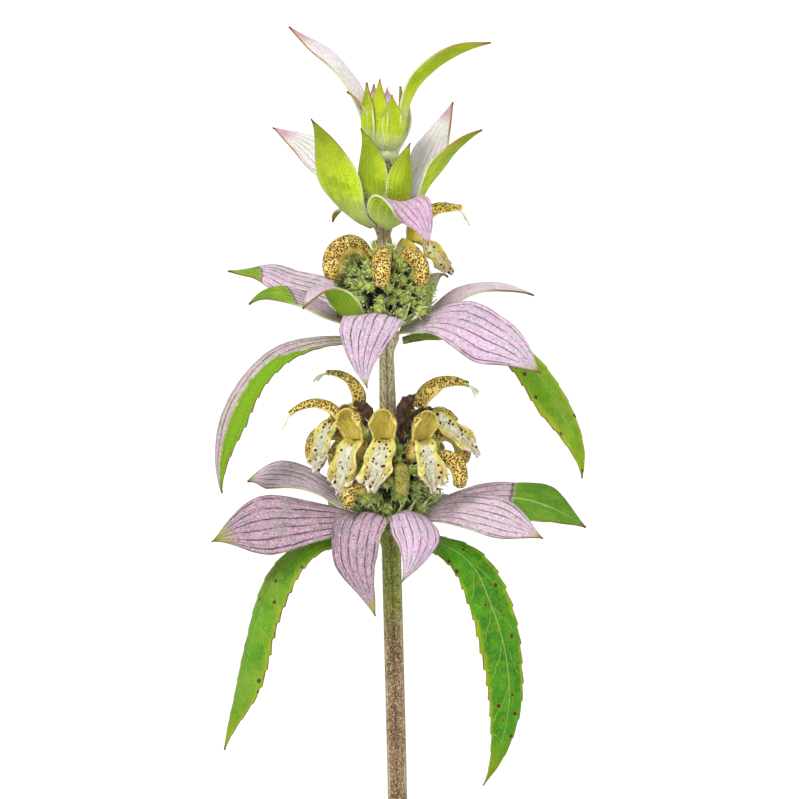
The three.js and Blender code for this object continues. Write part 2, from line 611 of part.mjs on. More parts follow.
// The three heads. Turn, out, lift and tilt place each corolla's throat, and size scales it.
const heads = {
  lower_head: {
    z: NODE.lower,
    hole: 2.7,
    coreLift: 8.6,
    coreRadius: 5,
    coreHeight: 6,
    calyces: 44,
    lowest: -0.5,
    highest: 0.99,
    calyxLength: 7.4,
    calyxRadius: 1.15,
    open: [
      { turn: 353, out: 9, lift: 14.4, form: 'raised' },
      { turn: 32, out: 9.2, lift: 14, form: 'raised' },
      { turn: 321, out: 9.2, lift: 14, size: 1.05, form: 'raised' },
      { turn: 280, out: 8.6, lift: 16.8, size: 0.94, face: 316 },
      { turn: 246, out: 6, lift: 18.6, tilt: 35, size: 0.9 },
      { turn: 95, out: 4.8, lift: 18.8, tilt: 16, form: 'spreading' },
      { turn: 142, out: 8.6, lift: 13.8 },
      { turn: 206, out: 8.6, lift: 14.2 },
    ],
    closed: [
      { turn: 262, out: 8.4, lift: 13 },
      { turn: 62, out: 9, lift: 9.4, size: 0.9 },
      { turn: 322, out: 8.2, lift: 5.4, size: 0.7 },
      { turn: 10, out: 8, lift: 8.4, size: 0.75 },
      { turn: 112, out: 8.4, lift: 12.6 },
      { turn: 176, out: 8.2, lift: 11 },
      { turn: 228, out: 8.2, lift: 10.6, size: 0.9 },
    ],
    spent: [
      { turn: 290, out: 4.2, lift: 17.6, tilt: 20 },
      { turn: 40, out: 4, lift: 18, tilt: 30 },
      { turn: 130, out: 4.4, lift: 18, tilt: 25 },
      { turn: 190, out: 4.2, lift: 17.4, tilt: 20 },
    ],
  },
  middle_head: {
    z: NODE.middle,
    hole: 2.1,
    coreLift: 6.4,
    coreRadius: 4.6,
    coreHeight: 4.2,
    calyces: 44,
    lowest: -0.46,
    highest: 0.99,
    calyxLength: 6.8,
    calyxRadius: 1.05,
    open: [
      { turn: 125, out: 5.4, lift: 14.2, form: 'tall', face: 50 },
      { turn: 184, out: 4.6, lift: 12, tilt: 52, size: 0.75 },
    ],
    closed: [
      { turn: 302, out: 5.8, lift: 12.4, size: 1.05 },
      { turn: 356, out: 6, lift: 11.2, size: 0.95 },
      { turn: 38, out: 5.4, lift: 11, size: 0.9 },
      { turn: 150, out: 6, lift: 10.6, size: 0.9 },
      { turn: 226, out: 6, lift: 11.2, size: 0.95 },
      { turn: 262, out: 6.2, lift: 8, size: 0.6 },
    ],
    spent: [],
  },
  upper_head: {
    z: NODE.upper,
    hole: 1.5,
    coreLift: 5.6,
    coreRadius: 2.7,
    coreHeight: 3.6,
    calyces: 20,
    lowest: 0.1,
    highest: 0.99,
    calyxLength: 4.6,
    calyxRadius: 0.85,
    open: [],
    closed: [],
    spent: [],
  },
};

for (const [name, head] of Object.entries(heads)) add(name, headSolid(head, aroundBlades), CALYX_GREEN);

// The top bud: small bracts closed over each other above the last pair of long ones.
add('top_bud', tuftSolid({
  z: 275.8,
  reach: 0,
  foot: { radius: 3.2, height: 3.5 },
  blades: [
    { turn: 272, climb: [40, 78, 66, 46, 40], length: 8.6, width: 4.2, peak: 0.4 },
    { turn: 300, climb: [34, 76, 88, 90], length: 8.8, width: 4.8, peak: 0.4 },
    { turn: 212, climb: [40, 70, 84, 88], length: 8.4, width: 4.6, peak: 0.4 },
    { turn: 74, climb: [34, 76, 98, 102], length: 8.6, width: 4.6, peak: 0.4 },
    { turn: 176, climb: [44, 80, 92], length: 8, width: 4.6, peak: 0.4 },
    { turn: 332, climb: [32, 80, 98, 96], length: 9.2, width: 5, peak: 0.4 },
    { turn: 20, climb: [40, 86, 98], length: 6.6, width: 4.8, peak: 0.4 },
    { turn: 128, climb: [40, 76, 88], length: 8, width: 4.6, peak: 0.4 },
  ],
}, 4, aroundBlades), YOUNG_GREEN);

// Tufts of small leaves in the axils of the upper stem leaves
const axils = {
  axil_tuft_front: { z: 149.6, turn: 24 },
  axil_tuft_back: { z: 149.6, turn: 204 },
  axil_tuft_left: { z: 123.6, turn: 290 },
  axil_tuft_right: { z: 123.6, turn: 110 },
};
for (const [name, { z, turn }] of Object.entries(axils)) {
  add(name, tuftSolid({
    z,
    turn,
    reach: 3.6,
    foot: { radius: 1.2, height: 1.2 },
    blades: [
      { turn, climb: [70, 56, 40], length: 12, width: 4, peak: 0.5, fold: 0.2 },
      { turn: turn - 62, climb: [62, 46, 26], length: 15, width: 4.6, peak: 0.5, fold: 0.2 },
      { turn: turn + 62, climb: [62, 46, 26], length: 14, width: 4.6, peak: 0.5, fold: 0.2 },
    ],
  }, 4), LEAF_GREEN);
}

export default group;
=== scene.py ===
# %% [markdown]
# # A potted horsemint
#
# A horsemint is a mint that flowers in tiers. One square stem carries round heads of spotted yellow flowers,
# each head sits on a ring of lilac bracts, and a tuft of young green bracts closes the top. The stem, the
# pot and every leaf already exist as plain solids, which this script loads as a fixed frame. Each step below
# then grows the real surface around one of them: thin blades with veins, hooded corollas, hairs, soil.
#
# Everything is in metres. The tables give their lengths in millimetres, as a botanist's notes would, and
# `MM` turns them into metres.

import json
import math
import random

import bmesh
import bpy
from mathutils import Matrix, Vector, noise


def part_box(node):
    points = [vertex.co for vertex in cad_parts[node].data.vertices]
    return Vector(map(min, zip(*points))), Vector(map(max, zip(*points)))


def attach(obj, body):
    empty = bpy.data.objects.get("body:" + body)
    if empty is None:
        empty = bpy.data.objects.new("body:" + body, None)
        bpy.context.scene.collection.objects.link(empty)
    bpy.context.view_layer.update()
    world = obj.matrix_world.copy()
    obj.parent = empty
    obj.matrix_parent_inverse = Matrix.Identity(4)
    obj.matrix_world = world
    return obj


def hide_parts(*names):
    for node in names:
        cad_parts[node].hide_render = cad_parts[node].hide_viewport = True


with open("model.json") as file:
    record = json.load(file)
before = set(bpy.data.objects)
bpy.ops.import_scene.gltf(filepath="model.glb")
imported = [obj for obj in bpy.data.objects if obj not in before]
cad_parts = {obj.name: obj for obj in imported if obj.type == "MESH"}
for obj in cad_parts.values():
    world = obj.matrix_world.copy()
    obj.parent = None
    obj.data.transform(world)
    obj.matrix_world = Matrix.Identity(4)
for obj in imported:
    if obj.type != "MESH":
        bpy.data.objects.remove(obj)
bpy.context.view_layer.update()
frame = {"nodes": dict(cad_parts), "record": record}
slot_of = {row["node"]: row["material_slot"] for row in frame["record"]["subparts"]}
MM = 0.001
print("solids in the frame:", len(frame["nodes"]))

# %% [markdown]
# ## The camera
#
# The plant is seen from a little above, as a tall subject is when it is photographed close to a window. A
# long lens keeps the tiers parallel, so that the top tuft isn't drawn smaller than the lowest leaves. The
# lens could also be short and close, but then the leaves that reach forward would look too big.

# %% Place the camera
VIEW_WIDTH = 136 * MM
VIEW_CENTRE = Vector((-0.68 * MM, 0, 233.9 * MM))
VIEW_DISTANCE = 2.4
VIEW_ELEVATION = math.radians(6)
SENSOR_WIDTH = 36

lens = bpy.data.cameras.new("portrait_lens")
lens.sensor_width = SENSOR_WIDTH
lens.lens = SENSOR_WIDTH * VIEW_DISTANCE / VIEW_WIDTH
lens.clip_end = 60
camera = bpy.data.objects.new("portrait_camera", lens)
towards_viewer = Vector((0, -math.cos(VIEW_ELEVATION), math.sin(VIEW_ELEVATION)))
camera.location = VIEW_CENTRE + towards_viewer * VIEW_DISTANCE
camera.rotation_euler = (math.pi / 2 - VIEW_ELEVATION, 0, 0)
bpy.context.scene.collection.objects.link(camera)
bpy.context.scene.camera = camera
print("focal length in mm:", round(lens.lens))

# %% [markdown]
# ## Light and floor
#
# The plant stands before plain white, in light that comes from all round. A white world does most of it. One
# wide, soft lamp from the upper left gives each blade a bright side and a shaded side, and a weaker one from
# the right keeps the shaded sides clear. The floor is a wide pale disc, so wide that its rim is never seen.

# %% Light the scene
FLOOR_RADIUS = 25
WORLD_STRENGTH = 0.67
KEY_STRENGTH = 2.55
FILL_STRENGTH = 0.6

world = bpy.data.worlds.new("white_room")
world.use_nodes = True
world.node_tree.nodes["Background"].inputs["Color"].default_value = (1, 1, 1, 1)
world.node_tree.nodes["Background"].inputs["Strength"].default_value = WORLD_STRENGTH
bpy.context.scene.world = world
bpy.context.scene.view_settings.view_transform = "Standard"


def soft_lamp(name, strength, softness, tilt, turn):
    """A far, wide lamp. Tilt leans it away from overhead, and turn swings it round the plant, in degrees."""
    lamp = bpy.data.lights.new(name, "SUN")
    lamp.energy = strength
    lamp.angle = math.radians(softness)
    holder = bpy.data.objects.new(name, lamp)
    holder.rotation_euler = (math.radians(tilt), 0, math.radians(turn))
    bpy.context.scene.collection.objects.link(holder)


soft_lamp("key_lamp", KEY_STRENGTH, 24, 48, -28)
soft_lamp("fill_lamp", FILL_STRENGTH, 50, 62, 55)
print("lamps: key and fill")

# %% [markdown]
# ## Small tools for materials
#
# A material is a graph of nodes. A `Signal` is what comes out of one socket, a value that differs from point
# to point of a surface. Sums with signals are written as sums, and each one adds its node to the graph.
# `rise` and `fall` turn a signal into a mask with soft ends, and `near` masks a narrow band of its values.

# %% Helpers for node graphs
def add_node(tree, kind, output, feeds=None, **settings):
    """Adds a node. A signal is linked to its input, a plain value is set on it."""
    made = tree.nodes.new(kind)
    for key, value in settings.items():
        setattr(made, key, value)
    for key, value in (feeds or {}).items():
        if isinstance(value, Signal):
            tree.links.new(value.socket, made.inputs[key])
        else:
            made.inputs[key].default_value = value
    if isinstance(output, tuple):
        return [Signal(made.outputs[label]) for label in output]
    return Signal(made.outputs[output])


class Signal:
    def __init__(self, socket):
        self.socket = socket
        self.tree = socket.id_data

    def then(self, operation, *others):
        return add_node(self.tree, "ShaderNodeMath", 0, dict(enumerate((self, *others))), operation=operation)

    def __add__(self, other):
        return self.then("ADD", other)

    def __sub__(self, other):
        return self.then("SUBTRACT", other)

    def __mul__(self, other):
        return self.then("MULTIPLY", other)

    def __abs__(self):
        return self.then("ABSOLUTE")

    def spread(self, low, high, to_low, to_high):
        """Maps one range of values to another, with soft ends."""
        feeds = {"Value": self, "From Min": low, "From Max": high, "To Min": to_low, "To Max": to_high}
        return add_node(self.tree, "ShaderNodeMapRange", "Result", feeds, interpolation_type="SMOOTHSTEP")

    def rise(self, low, high):
        return self.spread(low, high, 0, 1)

    def fall(self, low, high):
        return self.spread(low, high, 1, 0)

    def near(self, middle, inner, outer):
        """1 as far as inner from the middle value, and 0 from outer on."""
        return abs(self - middle).fall(inner, outer)


def vector_math(operation, *feeds, **named):
    every = {**dict(enumerate(feeds)), **named}
    return add_node(feeds[0].tree, "ShaderNodeVectorMath", 0, every, operation=operation)


def parts_of(vector):
    return add_node(vector.tree, "ShaderNodeSeparateXYZ", ("X", "Y", "Z"), {0: vector})


def noise_at(place, scale, detail=3, rough=0.55):
    feeds = {"Vector": place, "Scale": scale, "Detail": detail, "Roughness": rough}
    return add_node(place.tree, "ShaderNodeTexNoise", "Fac", feeds)


def paint(code):
    """A colour as written on a paint card, #rrggbb, in the linear values that the renderer uses."""
    parts = [int(code[k:k + 2], 16) / 255 for k in (1, 3, 5)]
    linear = [p / 12.92 if p <= 0.04045 else ((p + 0.055) / 1.055) ** 2.4 for p in parts]
    return (*linear, 1)


def blend(mask, one, other):
    """One colour where the mask is 0 and the other where it is 1. A colour is a paint code or a signal."""
    one, other = (paint(colour) if isinstance(colour, str) else colour for colour in (one, other))
    return add_node(mask.tree, "ShaderNodeMix", 2, {0: mask, 6: one, 7: other}, data_type="RGBA")


print("node helpers ready")

# %% [markdown]
# ## Effects that several finishes share
#
# Veins, speckles, soft mottling and fine grain turn up on leaves, bracts, corollas, clay and soil alike.
# Each is built once as a node group with named inputs, and each material then places it with its own values.
# A group gives out masks only, because the shader itself has to stay in the material.

# %% Make a node group
def make_group(name, vectors, numbers, build):
    """A group whose inputs are vectors and numbers, and whose outputs are the masks that build returns."""
    tree = bpy.data.node_groups.new(name, "ShaderNodeTree")
    for label in vectors:
        tree.interface.new_socket(label, in_out="INPUT", socket_type="NodeSocketVector")
    for label, value in numbers.items():
        made = tree.interface.new_socket(label, in_out="INPUT", socket_type="NodeSocketFloat")
        made.default_value = value
    inputs = tree.nodes.new("NodeGroupInput").outputs
    masks = build(*(Signal(inputs[label]) for label in (*vectors, *numbers)))
    for label in masks:
        tree.interface.new_socket(label, in_out="OUTPUT", socket_type="NodeSocketFloat")
    outputs = tree.nodes.new("NodeGroupOutput").inputs
    for label, mask in masks.items():
        tree.links.new(mask.socket, outputs[label])
    print("group:", name)
    return tree


# %% [markdown]
# ### Veins
#
# A bract's veins run from its base to its tip and bow out with its edges. On the blade's own map, where one
# axis runs across and the other along, they are straight lines. A slow noise bends them and thins them out
# in places, because a real vein isn't drawn with a ruler. A leaf has one pale midrib, and side veins that
# leave it at a slant and curve towards the tip. On the map that slant is a sum of the distance along and the
# distance from the midrib.

# %% Build the veins
def long_vein_masks(blade_map, place, count, thickness, wander):
    across, along, _ = parts_of(blade_map)
    drift = noise_at(place, 130, 4) - 0.5
    phase = ((drift * wander + across) * count).then("FRACT")
    line = phase.near(0.5, 0, thickness * count)
    strength = noise_at(place, 420).spread(0.34, 0.56, 0.25, 1)
    return {"Mask": line * strength * along.rise(0, 0.12)}


def side_vein_masks(blade_map, place, count, slant, thickness, midrib):
    across, along, _ = parts_of(blade_map)
    drift = noise_at(place, 150, 2) - 0.5
    off = abs(drift * 0.04 + across - 0.5)
    slanted = (off * 2).then("POWER", 0.75) * slant
    phase = (drift * 0.5 + (along * count - slanted)).then("FRACT")
    side = phase.near(0.5, 0, thickness) * off.fall(0.3, 0.47)
    return {"Side": side, "Midrib": off.fall(0, midrib) * along.spread(0.7, 1, 1, 0.3)}


long_vein_group = make_group("long_veins", ["Map", "Place"],
                             {"Count": 6, "Thickness": 0.02, "Wander": 0.03}, long_vein_masks)
side_vein_group = make_group("side_veins", ["Map", "Place"],
                             {"Count": 7, "Slant": 1.1, "Thickness": 0.05, "Midrib": 0.024}, side_vein_masks)

# %% [markdown]
# ### Speckles, clouds and edges
#
# The corollas are freckled, the leaves have a few dark spots and the soil has pale bits. All three are spots
# at the cells of a Voronoi pattern in space, which stay round however a surface bends. Each cell's own
# random colour drops some of the spots. Clouds mix two tones softly. The edge mask reads a blade's own map.

# %% Build the speckles, clouds and edges
def speckle_masks(place, scale, size, softness, share):
    feeds = {"Vector": place, "Scale": 900}
    wobble = add_node(place.tree, "ShaderNodeTexNoise", "Color", feeds)
    wavering = vector_math("ADD", place, vector_math("SCALE", wobble, Scale=0.0004))
    feeds = {"Vector": wavering, "Scale": scale}
    distance, colour = add_node(place.tree, "ShaderNodeTexVoronoi", ("Distance", "Color"), feeds)
    kept = add_node(place.tree, "ShaderNodeSeparateColor", 0, {0: colour}).then("LESS_THAN", share)
    return {"Mask": distance.fall(size, size + softness) * kept}


def cloud_masks(place, scale, low, high):
    return {"Mask": noise_at(place, scale, 4, 0.6).rise(low, high)}


def edge_masks(blade_map, width, tip):
    across, along, _ = parts_of(blade_map)
    return {"Edge": abs(across - 0.5).rise(width * -1 + 0.5, 0.5), "Tip": along.rise(tip, 1)}


speckle_group = make_group("speckles", ["Place"],
                           {"Scale": 1200, "Size": 0.35, "Softness": 0.08, "Share": 0.7}, speckle_masks)
cloud_group = make_group("clouds", ["Place"], {"Scale": 300, "Low": 0.4, "High": 0.6}, cloud_masks)
edge_group = make_group("blade_edges", ["Map"], {"Width": 0.06, "Tip": 0.93}, edge_masks)

# %% [markdown]
# ### A material and its two maps
#
# Every material starts the same way: a Principled shader, the piece's own map for what runs along it, and
# Object coordinates for what is scattered in space. It is then painted as a model is, from a ground of two
# tones up, with each coat over the last. Hairy plant surfaces get a little sheen, which is how their fine
# down catches the light.

# %% Start a material
class Finish:
    def __init__(self, name, roughness, sheen=0, specular=0.35):
        self.material = bpy.data.materials.new(name)
        self.material.use_nodes = True
        self.tree = self.material.node_tree
        self.shader = self.tree.nodes["Principled BSDF"]
        settings = {"Roughness": roughness, "Sheen Weight": sheen, "Sheen Roughness": 0.5,
                    "Specular IOR Level": specular}
        for label, value in settings.items():
            self.shader.inputs[label].default_value = value
        self.map, self.place = add_node(self.tree, "ShaderNodeTexCoord", ("UV", "Object"))

    def use(self, group, output, **feeds):
        return add_node(self.tree, "ShaderNodeGroup", output, feeds, node_tree=group)

    def noise(self, scale, detail=3, rough=0.55):
        return noise_at(self.place, scale, detail, rough)

    def clouds(self, scale, low, high):
        return self.use(cloud_group, "Mask", Place=self.place, Scale=scale, Low=low, High=high)

    def speckles(self, scale, size, softness, share):
        return self.use(speckle_group, "Mask", Place=self.place, Scale=scale, Size=size, Softness=softness,
                        Share=share)

    def long_veins(self, count, thickness, wander, on=None):
        return self.use(long_vein_group, "Mask", Map=on or self.map, Place=self.place, Count=count,
                        Thickness=thickness, Wander=wander)

    def side_veins(self, count=7):
        """The side veins and the midrib."""
        return self.use(side_vein_group, ("Side", "Midrib"), Map=self.map, Place=self.place, Count=count)

    def edges(self, width, tip):
        """The two long edges and the tip of a blade."""
        return self.use(edge_group, ("Edge", "Tip"), Map=self.map, Width=width, Tip=tip)

    def streaks(self, fine=26, long=2.4):
        """Streaks along a blade. Its place in space is added, so that no two blades look the same."""
        shift = vector_math("SCALE", self.place, Scale=70)
        return noise_at(vector_math("MULTIPLY_ADD", self.map, (fine, long, 0), shift), 1, 4, 0.65)

    def ground(self, mask, one, other):
        self.colour = blend(mask, one, other)

    def coat(self, mask, colour):
        self.colour = blend(mask, self.colour, colour)

    def done(self, height, depth, strength=0.6):
        """Lets the shader have the colour, and a relief for what is too fine to be modelled."""
        self.tree.links.new(self.colour.socket, self.shader.inputs["Base Color"])
        feeds = {"Height": height, "Distance": depth, "Strength": strength}
        normal = add_node(self.tree, "ShaderNodeBump", "Normal", feeds)
        self.tree.links.new(normal.socket, self.shader.inputs["Normal"])
        return self.material


print("finishes can be mixed")

# %% [markdown]
# ## Finishes of the bracts
#
# The coloured bracts are lilac above, mottled with grey where the down is thick, with dark purple veins, a
# fine wine-red edge and a tip that turns green or brown. Beneath they are green. Some keep a green,
# leaf-like end, which starts at a sharp slanting line, and one keeps a green stripe along an edge. One
# function mixes them all, and its arguments set the tone, the slant and the amount of green.

# %% Mix the bract finishes
def lilac_top(name, main, grey, light="#e2d6dd", end="#97964a", green_from=0.88, slant=0, sharp=False,
              stripe=0, veins_dark=0.9, tip="#7a3d26", stain=0.4, shadow="#7c6474", vein="#4a2b40"):
    made = Finish(name, 0.66, sheen=0.04, specular=0.2)
    across, along, _ = parts_of(made.map)
    mottle = made.clouds(230, 0.42, 0.6)
    down = made.clouds(3300, 0.42, 0.62)
    veins = made.long_veins(5.8, 0.022, 0.12)
    made.ground(mottle, main, grey)
    made.coat(down * 0.6, light)
    made.coat(made.streaks().rise(0.44, 0.68) * stain, shadow)
    made.coat(made.clouds(1700, 0.5, 0.64) * stain, shadow)
    made.coat(along.fall(0.04, 0.3) * 0.5, "#c3c39c")
    made.coat(veins * veins_dark, vein)
    jitter = made.noise(600) - 0.5
    line = jitter * 0.04 + (across * slant + along)
    green = line.rise(green_from, green_from + (0.02 if sharp else 0.12))
    leafy = blend(mottle, end, "#5f8f14" if sharp else end)
    leafy = blend(down * 0.2, leafy, "#a9c440")
    if stripe:
        side = jitter * 0.16 + across - along.rise(0.12, 0.5) * stripe
        green = green.then("MAXIMUM", side.fall(-0.03, 0.03))
    if sharp:
        midrib = made.side_veins(9)[1]
        leafy = blend(midrib * 0.7, leafy, "#b9cf86")
        made.coat(line.near(green_from, 0.003, 0.012) * 0.8, "#6a3a34")
    made.coat(green, leafy)
    edge, far_tip = made.edges(0.035, 0.94)
    made.coat(edge * made.noise(420).spread(0.38, 0.62, 0.12, 0.85), "#863a46")
    made.coat(far_tip * 0.9, tip)
    return made.done(down * 0.5 - veins, 0.00028, 0.7)


def green_under(name, main="#8ab010", dark="#64940a", pale="#c2d470", edge_tone="#8a5a30", tip="#6e3720",
                veins_dark=0.5, foot="#a6c052", foot_share=0.6, aged=0):
    made = Finish(name, 0.6, sheen=0.02, specular=0.15)
    along = parts_of(made.map)[1]
    down = made.clouds(3300, 0.45, 0.66)
    veins = made.long_veins(7, 0.02, 0.09)
    edge, far_tip = made.edges(0.035, 0.92)
    made.ground(made.clouds(260, 0.4, 0.6), main, dark)
    made.coat(made.streaks(34, 5).rise(0.46, 0.66) * 0.75, dark)
    made.coat(veins * veins_dark, pale)
    made.coat(along.rise(0.4, 0.9) * aged, "#6c7818")
    made.coat(made.clouds(4200, 0.5, 0.62) * aged, "#6f8a12")
    made.coat(along.fall(0.04, 0.42) * foot_share, foot)
    made.coat(down * 0.3, "#c8d840")
    made.coat(edge * 0.8, blend(along.rise(0.5, 0.8), "#d5dcae", edge_tone))
    made.coat(far_tip, tip)
    return made.done(down * 0.4 + veins, 0.00022)


lilac_dusty = lilac_top("lilac_bract_dusty", "#bb8fa6", "#a08890", light="#dccfd4", green_from=0.84,
                        stain=0.6, veins_dark=1)
lilac_plain = lilac_top("lilac_bract_top", "#d6b6c8", "#c4b0b9", light="#e9dee4")
# Painted light: a paler copy of the lilac finish, which lightens the bracts that the key lamp hardly reaches.
lilac_painted_light = lilac_top("lilac_bract_painted_light", "#e6c8dc", "#d8c2ce", light="#f4eaf0", stain=0.3)
lilac_bright = lilac_top("lilac_bract_bright", "#d4aecd", "#c4adbf", light="#eadfe8", stain=0.35)
lilac_folded = lilac_top("lilac_bract_folded", "#d2a4c8", "#c9aab8", light="#ecdbe6", stain=0.3,
                         veins_dark=1, vein="#7a2a5e")
lilac_leafy = lilac_top("lilac_bract_leafy_end", "#dcbdd1", "#cab8c1", light="#eee4ea", end="#7da30c",
                        stain=0.3, green_from=0.72, slant=-0.12, sharp=True)
lilac_curled = lilac_top("lilac_bract_curled_end", "#dabbcf", "#cab8be", light="#eee4ea", end="#83a80e",
                         stain=0.3, green_from=0.6, slant=-0.1, sharp=True)
lilac_half = lilac_top("lilac_bract_half_leaf", "#d0aec2", "#c0acb4", end="#458206", green_from=0.6,
                       slant=0.07, sharp=True)
lilac_striped = lilac_top("lilac_leaf_top", "#c2a4ae", "#b3a894", end="#6f9a0c", green_from=0.93, stripe=0.33)
pale_young = lilac_top("pale_young_bract", "#ecdde4", "#e2e2d6", light="#fbf7f3", end="#cf9db0",
                       green_from=0.8, veins_dark=0.38, tip="#a8344e", stain=0.2, shadow="#b3a3a8")
bract_green = green_under("bract_underside")
young_green = green_under("young_bract_underside", main="#bcd20e", dark="#8ba808", pale="#dde480",
                          edge_tone="#96602c", veins_dark=0.7, foot="#bccb88", foot_share=0.7, aged=0.55)
# Partly painted light: the whitish foot is the young bracts' own, made paler and stronger here to lift the
# shade at the foot of the bud.
top_green = green_under("top_bract_underside", main="#c8d81a", dark="#9fb80c", pale="#e0e684",
                        edge_tone="#a07038", tip="#8e3f2c", foot="#dce2ae", foot_share=0.8, aged=0.4)
print("bract finishes: 13")

# %% [markdown]
# ## Finishes of the leaves
#
# The long drooping leaves are a strong green with a pale midrib, fine side veins, yellow-green margins that
# redden at the teeth, and a scatter of small dark spots where wind and rain have marked them. The underside
# is paler and duller.

# %% Mix the leaf finishes
def leaf_finish(name, main="#3b840a", dark="#286a0a", rim="#8fa012", fresh="#5c9c10", rib=0.6, band_from=0.38,
                spot_share=0.75, gloss=0.5, rust=0):
    made = Finish(name, gloss, specular=0.18)
    across, along, _ = parts_of(made.map)
    mottle = made.clouds(170, 0.38, 0.62)
    down = made.clouds(3000, 0.42, 0.64)
    side, midrib = made.side_veins()
    edge, far_tip = made.edges(0.045, 0.965)
    made.ground(mottle, main, dark)
    made.coat(made.clouds(700, 0.44, 0.6) * 0.4, fresh)
    made.coat(down * 0.25, "#86b02a")
    made.coat(made.noise(160, 4).rise(0.46, 0.62) * rust, "#a8963e")
    made.coat(((mottle - 0.5) * 0.08 + abs(across - 0.5)).rise(band_from, 0.5) * 0.85, rim)
    made.coat(side * 0.65, "#8fb93a")
    made.coat(midrib * rib, "#b0cc66")
    made.coat(along.fall(0.03, 0.16) * 0.6, "#b9b78c")
    made.coat(along.rise(0.8, 0.98) * 0.6, "#939c14")
    made.coat(edge * made.clouds(420, 0.45, 0.6).spread(0, 1, 0.35, 0.95), "#7d3f1c")
    for scale, size, share, colour in ((450, 0.19, spot_share, "#7f7a24"), (450, 0.14, spot_share, "#2c160c"),
                                       (900, 0.1, 0.3, "#a3b42c")):
        made.coat(made.speckles(scale, size, 0.04, share) * 0.85, colour)
    made.coat(far_tip, "#7a4a20")
    return made.done(side * -0.7 + down * 0.35 - midrib, 0.0003, 0.7)


leaf_top = leaf_finish("leaf_top")
leaf_worn = leaf_finish("leaf_worn", main="#548c16", dark="#3f7410", rim="#8f9e26", fresh="#719c22", rib=0.35,
                        band_from=0.32, rust=0.15, spot_share=0.3)
leaf_bright = leaf_finish("leaf_bright", main="#689a0e", dark="#4c860a", rim="#9fae22", fresh="#86ae16",
                          band_from=0.3, rust=0.2)
leaf_under = leaf_finish("leaf_underside", main="#5f9a1a", dark="#4f8a16", rim="#82a226", spot_share=0.1,
                         gloss=0.62)
print("leaf finishes: 4")

# %% [markdown]
# ## Finishes of the flowers
#
# A corolla is golden yellow and thickly freckled with maroon on the back of its hood. Inside, the hood is a
# plain yellow with fine ridges, and the lower lip is cream with a few brown spots in rows and a yellow rim.
# Calyces are green ribbed tubes with pale teeth. Old corollas shrivel to brown.

# %% Mix the corolla finishes
GOLD = ("#e7d274", "#d4b854")
YELLOW = ("#efdf6c", "#e2c844")
PETAL = dict(roughness=0.55, sheen=0.03, specular=0.2)


def freckle(made, where, scale, size):
    """Rust-coloured clouds with dense maroon freckles on them, where the mask says."""
    made.coat(made.clouds(900, 0.36, 0.6) * 0.35 * where, "#b0803a")
    made.coat(made.speckles(scale, size, 0.1, 1) * 0.92 * where, "#451b10")


def finish_hood_edge(made, height, strength):
    edge, _ = made.edges(0.07, 0.93)
    made.coat(edge * made.noise(900).spread(0.4, 0.6, 0.2, 0.8), "#ddd07c")
    return made.done(height, 0.0003, strength)


def hood_back(name, ground=GOLD, bare=0):
    """Bare is the share of the hood, from its throat on, that has few freckles."""
    made = Finish(name, **PETAL)
    across, along, _ = parts_of(made.map)
    mottle = made.clouds(600, 0.4, 0.62)
    made.ground(mottle, *ground)
    freckled_from = along.spread(bare, bare + 0.25, 0.15 if bare else 1, 1)
    freckle(made, abs(across - 0.5).spread(0.4, 0.48, 1, 0.1) * freckled_from, 2900, 0.45)
    return finish_hood_edge(made, mottle, 0.5)


def hood_lining(name):
    """Plain yellow, with ridges that fan out from the throat."""
    made = Finish(name, **PETAL)
    across, along, _ = parts_of(made.map)
    fan = (across - 0.5) * along.spread(0, 0.8, 1.7, 1) + 0.5
    fanned = add_node(made.tree, "ShaderNodeCombineXYZ", 0, {0: fan, 1: along})
    ridges = made.long_veins(8, 0.05, 0.09, on=fanned)
    made.ground(made.clouds(600, 0.4, 0.62), "#cbb548", "#a8972f")
    made.coat(ridges * 0.55, "#ded08c")
    made.coat(along.fall(0, 0.35) * 0.4, "#d8c85a")
    return finish_hood_edge(made, ridges, 0.6)


def lip_finish(name, pale="#cfcbb0", shaded="#c0bfa0", rim="#d0c75e", dashes=0.85):
    made = Finish(name, **PETAL)
    across, along, _ = parts_of(made.map)
    off = abs(across - 0.5)
    mottle = made.clouds(800, 0.4, 0.6)
    uneven = made.noise(700) - 0.5
    made.ground(mottle, pale, shaded)
    made.coat((uneven * 0.4 + off).rise(0.2, 0.36), rim)
    made.coat(off.rise(0.42, 0.5), "#e6dea6")
    made.coat((uneven * 0.25 + along).fall(0.1, 0.26), "#c9b846")
    made.coat((off + along).rise(0.72, 1.1) * mottle * 0.6, "#b9935a")
    made.coat(along.rise(0.88, 0.97) * 0.8, "#e8dccb")
    made.coat(made.speckles(1200, 0.3, 0.06, 0.9) * off.near(0.22, 0.1, 0.2), "#45200f")
    dash = (across * 9).then("FRACT").near(0.5, 0.14, 0.26) * along.near(0.14, 0.02, 0.045)
    made.coat(dash * off.fall(0.3, 0.36) * dashes, "#4a2414")
    return made.done(mottle, 0.0004, 0.7)


def freckled_finish(name, top=1, ground=GOLD, size=0.47):
    """For a closed, clubbed corolla. Its map runs round it, and 0.5 is its underside."""
    made = Finish(name, **PETAL)
    mottle = made.clouds(600, 0.4, 0.62)
    made.ground(mottle, *ground)
    freckle(made, abs(parts_of(made.map)[0] - 0.5).spread(0.14, 0.24, 0.1, 1) * top, 3100, size)
    return made.done(mottle, 0.0003)


